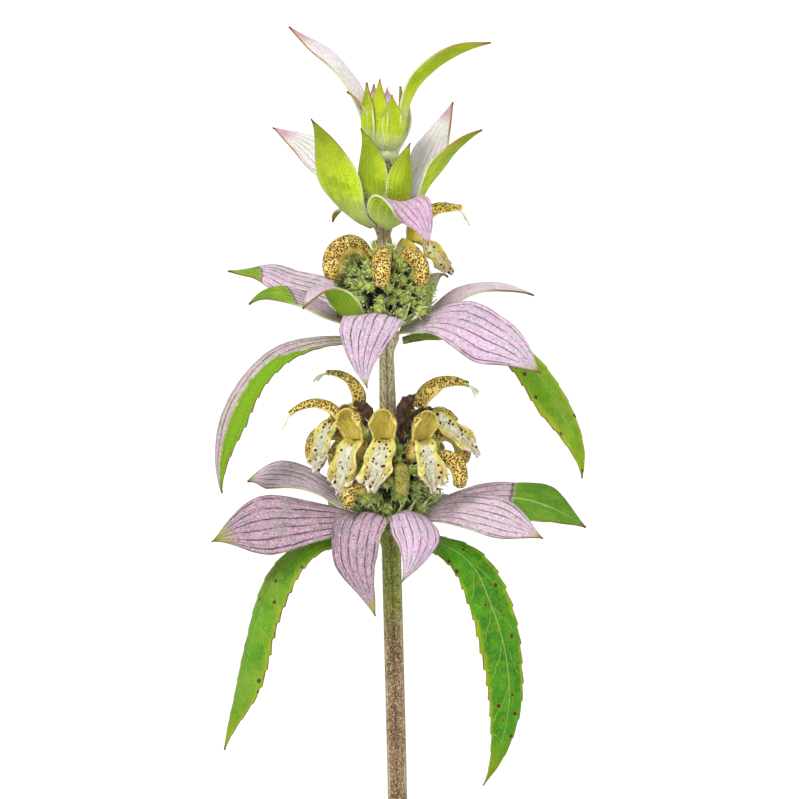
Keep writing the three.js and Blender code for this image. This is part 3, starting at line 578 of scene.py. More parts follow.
hood_outside = hood_back("corolla_hood_outside")
hood_plain = hood_back("corolla_hood_plain", ground=YELLOW, bare=0.35)
hood_inside = hood_lining("corolla_hood_inside")
lip_inside = lip_finish("corolla_lip_inside")
lip_outside = lip_finish("corolla_lip_outside", shaded="#d6c474", dashes=0)
lip_cream = lip_finish("corolla_lip_cream", pale="#e9e0b4", shaded="#e0d284", rim="#e2cf62")
freckled = freckled_finish("closed_corolla")
freckled_green = freckled_finish("young_closed_corolla", top=0.7, ground=("#9a9b4a", "#747c34"), size=0.34)
plain_gold = freckled_finish("corolla_tube", top=0.15, ground=YELLOW)
print("corolla finishes: 9")

# %% [markdown]
# The plain finishes below need no map: two tones in soft clouds, and a fine grain for their relief. Spent
# corollas, stamens, hairs and the painted shade in the core of a head are all mixed by the one function.
# Only the calyx has ribs, and a mouth that its map finds.

# %% Mix the plain finishes
def cloudy_finish(name, one, other, roughness=0.6, scale=500, sheen=0.1, grain=0.0002):
    made = Finish(name, roughness, sheen=sheen)
    made.ground(made.clouds(scale, 0.38, 0.64), one, other)
    return made.done(made.noise(scale * 4), grain)


def calyx_finish():
    """The map runs round the tube, and along it from its foot to the middle of its closed mouth."""
    made = Finish("calyx", 0.6, sheen=0.1, specular=0.2)
    across, along, _ = parts_of(made.map)
    ribs = abs((across * 10).then("FRACT") - 0.5).rise(0.1, 0.45)
    mottle = made.clouds(420, 0.42, 0.58)
    made.ground(mottle, "#a9b654", "#758a36")
    made.coat(ribs * 0.45, "#b9c876")
    # Painted shade: the lower part of each calyx goes nearly black, for the shade deep among the packed
    # calyces.
    made.coat(along.fall(0.34, 0.6) * 0.9, "#14180a")
    made.coat(along.rise(0.84, 0.9) * 0.6, blend(mottle, "#b4c460", "#8aa23c"))
    made.coat(along.near(0.8, 0.02, 0.06) * 0.55, "#3a4a14")
    return made.done(ribs, 0.00025)


spent_brown = cloudy_finish("spent_corolla", "#6a4028", "#1c0c0c", scale=1100, grain=0.0009)
stamen_pale = cloudy_finish("stamen_thread", "#eef0d6", "#ccd6a4")
tooth_pale = cloudy_finish("calyx_tooth", "#d2dc98", "#a8b964", scale=1200)
bud_collar = cloudy_finish("bud_collar", "#d9dfb6", "#b7c67e", scale=900)
# Painted shade: the near-black finish of the ball inside each head.
shade_core_finish = cloudy_finish("head_core_painted_shade", "#1d240e", "#10120a", scale=800)
hair_white = cloudy_finish("plant_hair", "#dde0cc", "#c6cdb0", scale=200)
bractlet_green = cloudy_finish("fine_bractlet", "#dde4a0", "#a3b752")
calyx_green = calyx_finish()
print("plain finishes: 8")

# %% [markdown]
# ## Finishes of the stem, the soil and the pot
#
# The stem is olive green under each whorl and turns purple-brown between them. Its down makes it look
# dusted, and fine dark fibres run along it. Fired clay is even from afar and busy close by: pale salt bloom
# creeps up from the foot, water leaves a darker band under the rim, and a wet sponge has left faint rings.

# %% Mix the stem, soil and clay
def stem_finish():
    made = Finish("stem_skin", 0.62, sheen=0.08, specular=0.2)
    height = parts_of(made.place)[2]
    green = height.rise(0.19, 0.202).then("MAXIMUM", height.fall(0.1, 0.125))
    green = green * height.spread(0.214, 0.226, 1, 0.5) * height.spread(0.25, 0.256, 1, 0.1)
    patchy = made.clouds(420, 0.36, 0.64)
    made.ground(green, blend(patchy, "#74503a", "#96785a"), blend(patchy, "#7f961a", "#96a23c"))
    # Painted light: a pale cream band from just above the lower head up to the upper whorl lightens the stem
    # where the bracts above shade it.
    made.coat(height.rise(0.218, 0.23) * height.spread(0.256, 0.262, 1, 0.3) * 0.95, "#eedfb8")
    # Painted light and shade: the stem's corners are painted paler, as if lit, and its grooves darker, as if
    # shaded.
    face = abs((parts_of(made.map)[0] * (4 * math.pi)).then("COSINE"))
    made.coat(face.fall(0.05, 0.4) * patchy.spread(0, 1, 0.5, 1) * 0.7, "#cabb90")
    made.coat(face.rise(0.9, 1) * 0.6, "#3a2a18")
    dust = made.clouds(2600, 0.48, 0.6)
    made.coat(dust * 0.65, "#d6c094")
    made.coat(made.streaks(70, 190).rise(0.47, 0.62) * 0.65, "#3c2a1c")
    made.coat(made.clouds(3600, 0.54, 0.64) * 0.8, "#2e1e16")
    return made.done(dust, 0.0003)


def soil_finish(name, dark, light):
    made = Finish(name, 0.92, specular=0.2)
    made.ground(made.clouds(420, 0.35, 0.65), dark, light)
    made.coat(made.speckles(900, 0.22, 0.05, 0.16) * 0.6, "#8a6f52")
    return made.done(made.noise(1300, 6, 0.7), 0.0008)


def clay_finish(pot_height, band_foot):
    made = Finish("fired_clay", 0.82, specular=0.3)
    height = parts_of(made.place)[2]
    dust = made.clouds(900, 0.42, 0.7)
    pits = made.speckles(420, 0.1, 0.05, 0.3)
    made.ground(made.clouds(38, 0.35, 0.68), "#b8694a", "#a65a3c")
    made.coat(dust * 0.3, "#cf8a6c")
    salted = height.fall(0, 0.45 * pot_height) + height.spread(band_foot, pot_height, 0.1, 0.55)
    made.coat(made.clouds(75, 0.46, 0.66) * salted * 0.6, "#dcc4b0")
    damp = height.rise(0.45 * pot_height, 0.62 * pot_height) * height.fall(0.7 * pot_height, band_foot)
    made.coat(damp * 0.3, "#8c4a32")
    made.coat(pits * 0.5, "#6e3a28")
    rings = (height * 4200).then("SINE") * made.noise(60)
    return made.done(rings * 0.3 + dust - pits * 2, 0.0002)


stem_skin = stem_finish()
soil_dark = soil_finish("potting_soil", "#2b1d14", "#4a3527")
soil_crumb = soil_finish("soil_crumb", "#3a281c", "#5a4331")
bark_chip = cloudy_finish("bark_chip", "#6e4a2e", "#3f2a1c", roughness=0.85, scale=600, sheen=0)
white_grit = cloudy_finish("white_grit", "#e4e0d6", "#c9c4b8", roughness=0.8, scale=900, sheen=0)
print("stem and soil finishes: 5")

# %% [markdown]
# ## Small tools for shapes
#
# Nearly every part of a plant is a sheet or a tube: a blade, a lip, a stem, a thread. Blender's grid
# operator makes the mesh and its map, and a formula then moves each point to its place in space. A tube is a
# sheet whose two long edges are merged. A hair, a crumb or a calyx is made once, and `scatter` repeats it.

# %% Helpers for shapes
def mix(a, b, t):
    return a + (b - a) * t


def clamp01(x):
    return min(1.0, max(0.0, x))


def smooth(x):
    return clamp01(x) ** 2 * (3 - 2 * clamp01(x))


def along(values, t):
    """The value at t of a list of values that are spread evenly from 0 to 1."""
    if len(values) == 1:
        return values[0]
    at = clamp01(t) * (len(values) - 1)
    k = min(int(at), len(values) - 2)
    return mix(values[k], values[k + 1], at - k)


def heading(turn):
    """A level direction. 0 is towards the viewer, 90 to the right."""
    return Vector((math.sin(math.radians(turn)), -math.cos(math.radians(turn)), 0))


def mapped_bmesh():
    bm = bmesh.new()
    bm.loops.layers.uv.new("UVMap")
    return bm


def curved_grid(columns, rows, shape, closed=False):
    """A grid whose points go to shape(u, t). Both run from 0 to 1: u across or round, t along."""
    bm = mapped_bmesh()
    bmesh.ops.create_grid(bm, x_segments=columns, y_segments=rows, size=0.5, calc_uvs=True)
    for vertex in bm.verts:
        vertex.co = shape(clamp01(vertex.co.x + 0.5), clamp01(vertex.co.y + 0.5))
    if closed:
        bmesh.ops.remove_doubles(bm, verts=bm.verts, dist=1e-7)
        bmesh.ops.recalc_face_normals(bm, faces=bm.faces)
    return bm


def mesh_of(name, bm):
    """A smooth-shaded mesh. The bmesh is used up."""
    mesh = bpy.data.meshes.new(name)
    bm.to_mesh(mesh)
    bm.free()
    mesh.polygons.foreach_set("use_smooth", [True] * len(mesh.polygons))
    return mesh


def pour(bm, into, material=0):
    """Adds a small bmesh to a bigger one, with its faces set to one of the piece's materials."""
    for face in bm.faces:
        face.material_index = material
    carrier = mesh_of("carrier", bm)
    into.from_mesh(carrier)
    bpy.data.meshes.remove(carrier)


def finish_piece(name, bm, materials, solid=None, slot=None):
    """Makes the object, which rides on the plant's one body and stands for the given solid."""
    piece = bpy.data.objects.new(name, mesh_of(name, bm))
    for material in materials:
        piece.data.materials.append(material)
    bpy.context.scene.collection.objects.link(piece)
    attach(piece, "root")
    if solid:
        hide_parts(solid)
    slot or slot_of[solid]
    return piece


def finish_sheet(name, bm, materials, thickness, solid):
    """A sheet with a thickness. The side that its normals leave has its own finish, the other the next."""
    shell = finish_piece(name, bm, materials, solid).modifiers.new("thickness", "SOLIDIFY")
    shell.thickness = thickness
    shell.offset = 0
    shell.use_even_offset = False
    shell.material_offset = shell.material_offset_rim = int(len(materials) > 1)


def scatter(bm, pattern, places):
    """Repeats a small mesh at each place, a matrix, inside one bmesh."""
    rest = [vertex.co.copy() for vertex in pattern.vertices]
    for place in places:
        pattern.vertices.foreach_set("co", [x for co in rest for x in place @ co])
        bm.from_mesh(pattern)
    pattern.vertices.foreach_set("co", [x for co in rest for x in co])


def aimed(place, direction, length, width, spin=0):
    """The matrix that stands a unit pattern at a place, with its +Z along a direction."""
    turn = direction.to_track_quat("Z", "Y").to_matrix().to_4x4()
    size = Matrix.Diagonal((width, width, length, 1))
    return Matrix.Translation(place) @ turn @ Matrix.Rotation(spin, 4, "Z") @ size


def smooth_path(points, count):
    """count + 1 evenly spaced points on a smooth curve through the given ones."""
    ends = [2 * points[0] - points[1], *points, 2 * points[-1] - points[-2]]
    dense = []
    for a, b, c, d in zip(ends, ends[1:], ends[2:], ends[3:]):
        for step in range(12):
            t = step / 12
            bend = (2 * a - 5 * b + 4 * c - d) * t * t + (3 * b - a - 3 * c + d) * t ** 3
            dense.append((2 * b + (c - a) * t + bend) / 2)
    dense.append(points[-1].copy())
    far = [0]
    for one, other in zip(dense, dense[1:]):
        far.append(far[-1] + (other - one).length)
    spaced, k = [], 0
    for step in range(count + 1):
        goal = far[-1] * step / count
        while k < len(far) - 2 and far[k + 1] < goal:
            k += 1
        share = (goal - far[k]) / max(far[k + 1] - far[k], 1e-12)
        spaced.append(dense[k].lerp(dense[k + 1], clamp01(share)))
    return spaced


def at_share(spaced, t):
    at = clamp01(t) * (len(spaced) - 1)
    k = min(int(at), len(spaced) - 2)
    return spaced[k].lerp(spaced[k + 1], at - k)


print("shape helpers ready")

# %% [markdown]
# ## The stem
#
# A mint's stem is square with rounded corners, a shallow groove down each side, and a swelling where each
# pair of leaves or whorl of bracts leaves it. It leans a little to the left on its way up. It could be a
# swept curve, but a tube of rings gives each height its own width, so the swellings come from one formula.

# %% Grow the stem
STEM_LINE = [(0, 74), (0, 96), (-0.4, 130), (-1.2, 170), (-2.3, 214), (-3.1, 247), (-3.5, 265), (-3.1, 276.5)]
STEM_WIDTH = 3.3
STEM_TOP_WIDTH = 1.9
STEM_FOOT = 78
SOIL_TOP_MM = 90
LEVEL = {"lower": 213, "upper": 264.8, "top": 275}
COLLARS = [(99, 2.2), (122, 2.2), (148, 2.2), (211.5, 2.5), (244.8, 2.3), (264.2, 1.8), (274.8, 1.2)]
COLLAR_REACH = 3.2
STEM_COLUMNS, STEM_ROWS = 32, 260


def stem_at(z):
    """The stem's middle at a height, all in millimetres."""
    heights = [point[1] for point in STEM_LINE]
    k = max(0, min(len(heights) - 2, sum(h <= z for h in heights) - 1))
    share = clamp01((z - heights[k]) / (heights[k + 1] - heights[k]))
    slope = [(b[0] - a[0]) / (b[1] - a[1]) for a, b in zip(STEM_LINE, STEM_LINE[1:])]
    soft = [slope[0]] + [(a + b) / 2 for a, b in zip(slope, slope[1:])] + [slope[-1]]
    run = heights[k + 1] - heights[k]
    s2, s3 = share ** 2, share ** 3
    x = ((2 * s3 - 3 * s2 + 1) * STEM_LINE[k][0] + (s3 - 2 * s2 + share) * run * soft[k]
         + (3 * s2 - 2 * s3) * STEM_LINE[k + 1][0] + (s3 - s2) * run * soft[k + 1])
    return Vector((x, 0, z))


def stem_half(z):
    share = smooth((z - LEVEL["lower"]) / (LEVEL["upper"] - LEVEL["lower"]))
    plain = mix(STEM_WIDTH, STEM_TOP_WIDTH, share) / 2
    swollen = [mix(half, plain, smooth(abs(z - middle) / COLLAR_REACH)) for middle, half in COLLARS]
    return max([plain, *swollen])


def stem_point(angle, z, out=0):
    """A point of the stem's skin. The section is a square with rounded corners and grooved sides."""
    c, s = abs(math.cos(angle)), abs(math.sin(angle))
    square = 1 / (c ** 4 + s ** 4) ** 0.25
    groove = 1 - 0.07 * math.cos(2 * angle) ** 8
    radius = stem_half(z) * square * groove + out
    return stem_at(min(z, LEVEL["top"])) + Vector((math.cos(angle) * radius, math.sin(angle) * radius, 0))


def stem_skin_point(u, t):
    """The tube closes in the stem's middle at both ends."""
    z = mix(STEM_FOOT, LEVEL["top"] + 0.4, t)
    point = stem_at(min(z, LEVEL["top"])) if t in (0, 1) else stem_point(math.tau * u, z)
    return Vector((point.x, point.y, z)) * MM


stem_bm = curved_grid(STEM_COLUMNS, STEM_ROWS, stem_skin_point, closed=True)
stem = finish_piece("stem_grown", stem_bm, [stem_skin], "stem")
print("stem faces:", len(stem.data.polygons))

# %% [markdown]
# ## Blades: bracts and leaves
#
# A bract and a leaf are the same thing in two moods: a thin blade with a narrow foot, a widest place and a
# drawn-out tip. The blade's midrib is followed step by step from the stem. A list of slopes bends it up or
# down, a lean bends it sideways, roll turns it about its midrib, and fold lifts its edges. Edges lists how
# much wider or narrower than the plain outline it is on its right and on its left, because no blade is even.
# The frame's solids were grown from the same numbers, so each fine blade lies inside its own solid's place.

# %% Follow a midrib
def blade_width(blade, t):
    """The outline, as a share of the full width."""
    neck, peak = blade.get("neck", 0.3), blade["peak"]
    if t < peak:
        return mix(neck, 1, math.sin(t / peak * math.pi / 2) ** 1.3)
    return (1 - ((t - peak) / (1 - peak)) ** 1.7) ** 1.3


MIDRIB_STEPS = 96


def follow_midrib(blade):
    """Place, sideways and upwards directions at each step, in millimetres."""
    side = heading(blade["turn"] + 90)
    place = blade.get("place")
    if place is None:
        place = stem_at(blade["z"]) + heading(blade["turn"]) * blade["reach"]
    steps = []
    for step in range(MIDRIB_STEPS + 1):
        t = step / MIDRIB_STEPS
        climb = math.radians(along(blade["climb"], t))
        lean = math.radians(along(blade.get("lean", [0]), t))
        roll = math.radians(along(blade.get("roll", [0]), t))
        straight = heading(blade["turn"]) * math.cos(climb) + Vector((0, 0, math.sin(climb)))
        up = straight.cross(side)
        onward = straight * math.cos(lean) + side * math.sin(lean)
        across = side * math.cos(lean) - straight * math.sin(lean)
        steps.append((place.copy(), across * math.cos(roll) + up * math.sin(roll),
                      up * math.cos(roll) - across * math.sin(roll)))
        place = place + onward * (blade["length"] / MIDRIB_STEPS)
    return steps


# %% [markdown]
# Across the blade, the fold is softened near the midrib so that no crease shows, the tissue puffs up a
# little between the veins, and the margin ripples. A leaf's teeth point forward: the edge moves out slowly
# and steps back in at once.

# %% Shape a blade
PUFF, PUFFS_ACROSS = 0.1, 6
RIPPLE, RIPPLES_ALONG = 0.05, 2.4
THINNEST = 0.07


def blade_point(blade, steps, u, t):
    """u runs from the blade's right edge to its left, so that the mesh faces up."""
    at = t * MIDRIB_STEPS
    k = min(int(at), MIDRIB_STEPS - 1)
    place, side, up = (a.lerp(b, at - k) for a, b in zip(steps[k], steps[k + 1]))
    half = max(THINNEST, blade["width"] / 2 * blade_width(blade, t))
    if blade.get("teeth"):
        tooth = (t * blade["tooth_count"]) % 1
        envelope = smooth(t / 0.12) * smooth((1 - t) / 0.06)
        half *= 1 - blade["teeth"] * (1 - tooth ** 1.4) * envelope
    w = 1 - 2 * u
    half *= along(blade["edges"][0 if w > 0 else 1], t)
    fold = along(blade["fold"], t) * ((math.sqrt(w * w + 0.04) - 0.2) / 0.82)
    puff = PUFF * (0.5 + 0.5 * math.cos(math.tau * u * PUFFS_ACROSS)) * (1 - w ** 4)
    puff *= smooth(t / 0.2) * smooth((1 - t) / 0.25)
    ripple = RIPPLE * half * w ** 3 * math.sin(math.tau * (t * RIPPLES_ALONG + blade["phase"]))
    return (place + side * (w * half) + up * (fold * half + puff + ripple)) * MM


def grow_blade(blade, columns, rows):
    steps = follow_midrib(blade)
    return curved_grid(columns, rows, lambda u, t: blade_point(blade, steps, u, t))


print("blade functions ready")

# %% [markdown]
# ### The plant's blades, ring by ring
#
# Angles are in degrees and lengths in millimetres. `turn` is 0 towards the viewer and 90 to the right. Each
# ring shares a height on the stem, a distance from it and the finishes of its two sides.

# %% List the blades
DUSTY_SIDES = (lilac_dusty, bract_green)
LILAC_SIDES = (lilac_plain, bract_green)
# Painted light: these sides carry the paler copy of the lilac finish, for bracts that lie in shade.
PAINTED_LIGHT_SIDES = (lilac_painted_light, bract_green)
BRIGHT_SIDES = (lilac_bright, bract_green)
LEAFY_SIDES = (lilac_leafy, bract_green)
CURLED_SIDES = (lilac_curled, bract_green)
HALF_SIDES = (lilac_half, bract_green)
STRIPED_SIDES = (lilac_striped, leaf_under)
YOUNG_SIDES = (pale_young, young_green)
TOP_SIDES = (pale_young, top_green)
LEAF_SIDES = (leaf_top, leaf_under)
WORN_LEAF_SIDES = (leaf_worn, leaf_under)
BRIGHT_LEAF_SIDES = (leaf_bright, leaf_under)

RINGS = {
    "lower_bract": (dict(z=212.4, reach=3, neck=0.2, sides=DUSTY_SIDES), {
        "left_back": dict(turn=244, climb=[19, 33, 22, 2, -36], length=26.2, width=6.9, roll=[-20, -28, -36],
                          peak=0.78, dz=0.6, sides=PAINTED_LIGHT_SIDES,
                          edges=[[1, 1, 0.7, 0.97, 1.2, 1.2], [1, 1, 0.98, 0.92, 0.91, 1]]),
        "left": dict(turn=290, climb=[13, 4, -1, -3, -10, -26], length=29.7, width=10,
                     roll=[-60, -61, -66, -62], peak=0.65,
                     edges=[[1, 0.97, 0.9, 1.03, 1.09, 1.09], [1, 1, 0.96, 1.09, 1, 0.8]]),
        "front_left": dict(turn=326, climb=[48, 11, -59, -81, -90, -89, -81], lean=[2, 2, 0, 3, 23, 31, 30],
                           length=25.1, width=11.1, peak=0.34, fold=-0.2, dz=0.6,
                           edges=[[1, 0.9, 0.86, 0.98, 1, 1.28], [1, 1.02, 1.02, 1.06, 0.8, 0.8]]),
        "front_right": dict(turn=22, climb=[55, 38, -30, -50, -80, -86, -86],
                            lean=[0, 0, 0, 0, -12, -28, -38], length=20, width=7.8, peak=0.5, fold=-0.3,
                            edges=[[1, 1, 1.12, 1.24, 0.96, 0.8], [1]], sides=BRIGHT_SIDES),
        "right": dict(turn=70, climb=[24, 16, -4, -11, -22, -26], length=25.6, width=8.1,
                      roll=[46, 46, 46, 57], peak=0.61, dz=0.6, sides=LILAC_SIDES,
                      edges=[[1, 1, 1.02, 1.03, 0.99, 0.85], [1, 0.91, 0.92, 0.98, 1.13, 1.11]]),
        "right_back": dict(turn=108, climb=[30, 21, 2, 2, -16, -27, -33], length=34, width=8.9,
                           roll=[28, 40, 43, 45], peak=0.73, sides=HALF_SIDES,
                           edges=[[1, 0.8, 0.98, 0.85, 1.3, 0.98], [1, 1, 1, 1.2, 0.75, 0.75]]),
        "back_right": dict(turn=154, climb=[24, 0, -46], length=27, width=9, peak=0.5, dz=0.6),
        "back_left": dict(turn=202, climb=[26, 0, -44], length=26, width=9, peak=0.5),
    }),
    "lower_leaf": (dict(z=210.6, reach=3, teeth=0.1, tooth_count=17, neck=0.3, sides=LEAF_SIDES), {
        "left": dict(turn=286, climb=[2, -8, -38, -64, -75, -78, -70, -78], length=50, width=7.5,
                     roll=[-41, -35, -29, -35], peak=0.57, fold=-0.4, sides=WORN_LEAF_SIDES,
                     edges=[[1, 0.75, 0.99, 0.95, 1.28, 1.3], [1, 1.1, 0.92, 0.7, 0.92, 0.95]]),
        "right": dict(turn=76, climb=[-7, -24, -64, -72, -80, -95, -107, -123], length=52, width=8.6,
                      roll=[36, 57, 52, 70], peak=0.5, fold=-0.2,
                      edges=[[1, 1.15, 0.99, 0.78, 0.97, 1.3], [1, 1.07, 0.93, 1.03, 1.22, 1.25]]),
    }),
    "middle_bract": (dict(z=245.3, reach=2.8, neck=0.2, sides=LILAC_SIDES), {
        "left_back": dict(turn=240, climb=[44, 33, 18, 9, 19, -8, 4], length=30.4, width=7.3,
                          roll=[-39, -30, -21], peak=0.54, dz=0.9, sides=LEAFY_SIDES,
                          edges=[[1, 1, 1.06, 1.05, 1.18, 1.18], [1, 1, 0.99, 0.75, 1, 0.95]]),
        "left": dict(turn=275, climb=[29, 25, 32, 21, -3, -48], length=22.7, width=5.9,
                     roll=[-10, -18, -26, -27], peak=0.59, dz=-0.2, sides=CURLED_SIDES),
        "front_left": dict(turn=308, climb=[14, 30, 56, 50, 0, -40, -56], length=19, width=8.6, peak=0.5,
                           dz=1.3, sides=PAINTED_LIGHT_SIDES),
        "front": dict(turn=352, climb=[20, 50, 13, -77, -95, -89, -73], lean=[-2, -2, -10, -19, -9, 8, 23],
                      length=22, width=10.6, peak=0.43, fold=-0.2, neck=0.12, sides=BRIGHT_SIDES,
                      edges=[[1, 1.1, 0.95, 0.93, 1.01, 1.19], [1, 0.7, 0.84, 1.02, 0.84, 0.82]]),
        "right": dict(turn=62, climb=[12, 19, -2, -21, -24, -39, -31], length=29.2, width=10.2,
                      roll=[36, 48, 54, 50], peak=0.6, dz=0.6, sides=BRIGHT_SIDES,
                      edges=[[1, 0.86, 1.02, 0.75, 0.8, 1.1], [1, 0.85, 1.08, 1.09, 1.08, 0.95]]),
        "right_back": dict(turn=102, climb=[30, 34, 34, 8, -10, -24], length=25.2, width=6, roll=[10],
                           peak=0.6, sides=PAINTED_LIGHT_SIDES),
        "back_right": dict(turn=134, climb=[40, 44, 50, 30, -40], length=15.3, width=5.5, peak=0.5, dz=0.9,
                           sides=YOUNG_SIDES),
        "back": dict(turn=195, climb=[28, 0, -40], length=24, width=9, peak=0.5),
    }),
    "middle_leaf": (dict(z=244, reach=2.8, teeth=0.08, tooth_count=14, neck=0.25), {
        "left": dict(turn=280, climb=[11, -1, -12, -40, -57, -73, -89, -107], length=44.3, width=7,
                     roll=[-28, -24, -20, -31], peak=0.68, fold=-0.5, sides=STRIPED_SIDES,
                     edges=[[1, 0.95, 1.2, 1.2, 1.19, 1.24], [1, 1, 1.07, 1.05, 1.04, 1.04]]),
        "right": dict(turn=84, climb=[18, 7, -6, -26, -46, -61, -60, -70, -93], length=45.1, width=7.5,
                      roll=[32, 36, 40, 49], peak=0.66, fold=-0.2, dz=0.1, sides=BRIGHT_LEAF_SIDES,
                      edges=[[1, 1, 0.93, 0.84, 1.05, 1.2], [1, 1, 1.03, 1.02, 0.92, 0.99]]),
    }),
    "upper_bract": (dict(z=264.2, reach=2.2, neck=0.3, sides=YOUNG_SIDES), {
        "left_back": dict(turn=238, climb=[52, 48, 42, 34, 22, 24], length=25.5, width=7, roll=[0, -30, -30],
                          peak=0.55, fold=0.1),
        "front_left": dict(turn=301, climb=[16, 48, 65, 70, 68, 60, 52], length=23, width=7.4,
                           roll=[0, 20, 32, 32], peak=0.42, fold=0.25, dz=-0.7,
                           edges=[[1], [1, 1.2, 1.3, 1.3, 1.3, 1.2]]),
        "front": dict(turn=334, climb=[60, 74, 86, 88, 88], lean=[0, 0, 0, -12, -30], length=16.4, width=5.8,
                      peak=0.45, fold=0.2, dz=0.6, neck=0.2),
        "front_right": dict(turn=32, climb=[40, 66, 84, 86, 88], lean=[0, 0, 2, 12, 24], length=14.8,
                            width=5.2, peak=0.5, fold=0.2, dz=0.2, neck=0.2),
        "right_back": dict(turn=130, climb=[46, 50, 56, 62, 66], length=23.8, width=7.2, peak=0.55, fold=0.1,
                           edges=[[1, 1, 1.1, 1.3, 1.4, 1.3], [1]]),
        "right": dict(turn=84, climb=[16, 56, 66, 58, 46, 38, 22], length=22.2, width=6.4, roll=[0, -16, -26],
                      peak=0.55, fold=0.1, neck=0.2),
        "back_low": dict(turn=250, climb=[20, 40, 40, -40, -84], length=9.2, width=4.6, peak=0.6, dz=-1),
        "folded": dict(turn=18, climb=[6, 56, 62, -20, -80, -86, -86], lean=[0, 0, 10, 36, 30, 16, 4],
                       length=17.4, width=9.6, peak=0.34, fold=[0.4, 0.35, 0.05, -0.2, -0.1], neck=0.14,
                       dz=-1, sides=(lilac_folded, young_green)),
        "back": dict(turn=185, climb=[55, 45, 40], length=14, width=6, peak=0.5),
    }),
    "top_bract": (dict(z=275.6, reach=1.7, sides=TOP_SIDES), {
        "left": dict(turn=244, climb=[48, 84, 74, 62, 49, 41, 31, 32, 37], length=28.2, width=3.8,
                     roll=[-31, -13, -16], peak=0.7),
        "right": dict(turn=66, climb=[60, 86, 80, 66, 46, 34, 25, 10, 8], length=29.6, width=3.6,
                      roll=[-5, -25, -31], peak=0.7),
    }),
    "stem_leaf_high": (dict(z=148, reach=2.7, teeth=0.1, tooth_count=15, neck=0.25, sides=LEAF_SIDES), {
        "front": dict(turn=24, climb=[32, 20, 0, -26, -46, -60], length=47, width=10, peak=0.45, fold=0.2),
        "back": dict(turn=204, climb=[34, 22, 2, -24, -44, -56], length=46, width=10, peak=0.45, fold=0.2),
    }),
    "stem_leaf_middle": (dict(z=122, reach=2.7, teeth=0.1, tooth_count=16, neck=0.25, sides=LEAF_SIDES), {
        "left": dict(turn=290, climb=[36, 26, 8, -12, -28, -40], length=50, width=10.5, peak=0.45, fold=0.2),
        "right": dict(turn=110, climb=[38, 28, 10, -10, -26, -36], length=50, width=10.5, peak=0.45,
                      fold=0.2),
    }),
    "stem_leaf_low": (dict(z=99, reach=2.7, teeth=0.1, tooth_count=14, neck=0.25, sides=LEAF_SIDES), {
        "front": dict(turn=18, climb=[48, 40, 22, 4, -12, -22], length=42, width=10, peak=0.45, fold=0.2),
        "back": dict(turn=198, climb=[50, 42, 24, 6, -10, -20], length=42, width=10, peak=0.45, fold=0.2),
    }),
}
print("blades:", sum(len(blades) for _, blades in RINGS.values()))

# %% [markdown]
# Each blade becomes a piece of its own, because each grew by itself and stands for one solid. Toothed leaves
# need more rows than smooth-edged bracts. The tissue is 0.35 mm thick, which is generous for a petal-like
# bract but keeps a visible edge.

# %% Grow every blade
BLADE_THICKNESS = 0.35 * MM
PLAIN_GRID, TOOTHED_GRID = (24, 64), (24, 150)
GOLDEN_SHARE = 0.618


def complete_blade(shared, own, count):
    """Fills in what a blade shares with its ring, and its own ripple, which follows from its number."""
    whole = {"fold": 0, "edges": [[1], [1]], **shared, **own, "phase": (count * GOLDEN_SHARE) % 1}
    whole["z"] = shared.get("z", 0) + own.get("dz", 0)
    if not isinstance(whole["fold"], list):
        whole["fold"] = [whole["fold"]]
    return whole


grown_blades = {}
for ring_name, (ring_shared, ring_blades) in RINGS.items():
    for blade_name, listed in ring_blades.items():
        solid_name = f"{ring_name}_{blade_name}"
        blade = complete_blade(ring_shared, listed, len(grown_blades))
        blade_bm = grow_blade(blade, *(TOOTHED_GRID if "teeth" in blade else PLAIN_GRID))
        finish_sheet(f"{solid_name}_grown", blade_bm, blade["sides"], BLADE_THICKNESS, solid_name)
        grown_blades[solid_name] = blade
print("blades grown:", len(grown_blades))

# %% [markdown]
# ## The top bud and the small tufts
#
# Above the last pair of long bracts, a few small ones close over the growing point. In the angles of the
# upper stem leaves, short side shoots have only just opened. Both are blades that share one rounded foot.

# %% Grow the bud and the tufts
TUFT_GRID = (12, 32)


def bulb(middle, radius, height):
    """A rounded foot, in millimetres."""
    bm = mapped_bmesh()
    place = Matrix.Translation(middle * MM) @ Matrix.Diagonal((radius * MM, radius * MM, height * MM, 1))
    bmesh.ops.create_uvsphere(bm, u_segments=16, v_segments=10, radius=1, matrix=place, calc_uvs=True)
    return bm


def grow_tuft(solid_name, z, turn, reach, foot, blades, sides, core_finish):
    """Foot gives the radius and the half height of what the blades grow from."""
    middle = stem_at(z) + heading(turn) * reach
    leaves = bmesh.new()
    for listed in blades:
        place = middle + heading(listed["turn"]) * foot[0] * 0.45
        place.z = z + foot[1] * 0.18
        blade = complete_blade({"place": place}, listed, listed["turn"])
        pour(grow_blade(blade, *TUFT_GRID), leaves)
    finish_sheet(f"{solid_name}_grown", leaves, sides, BLADE_THICKNESS, solid_name)
    core = bulb(Vector((middle.x, middle.y, z + foot[1])), *foot)
    pour(bulb(Vector((middle.x, middle.y, z)), foot[0] * 0.72, foot[1] * 0.5), core)
    finish_piece(f"{solid_name}_foot", core, [core_finish], solid_name)


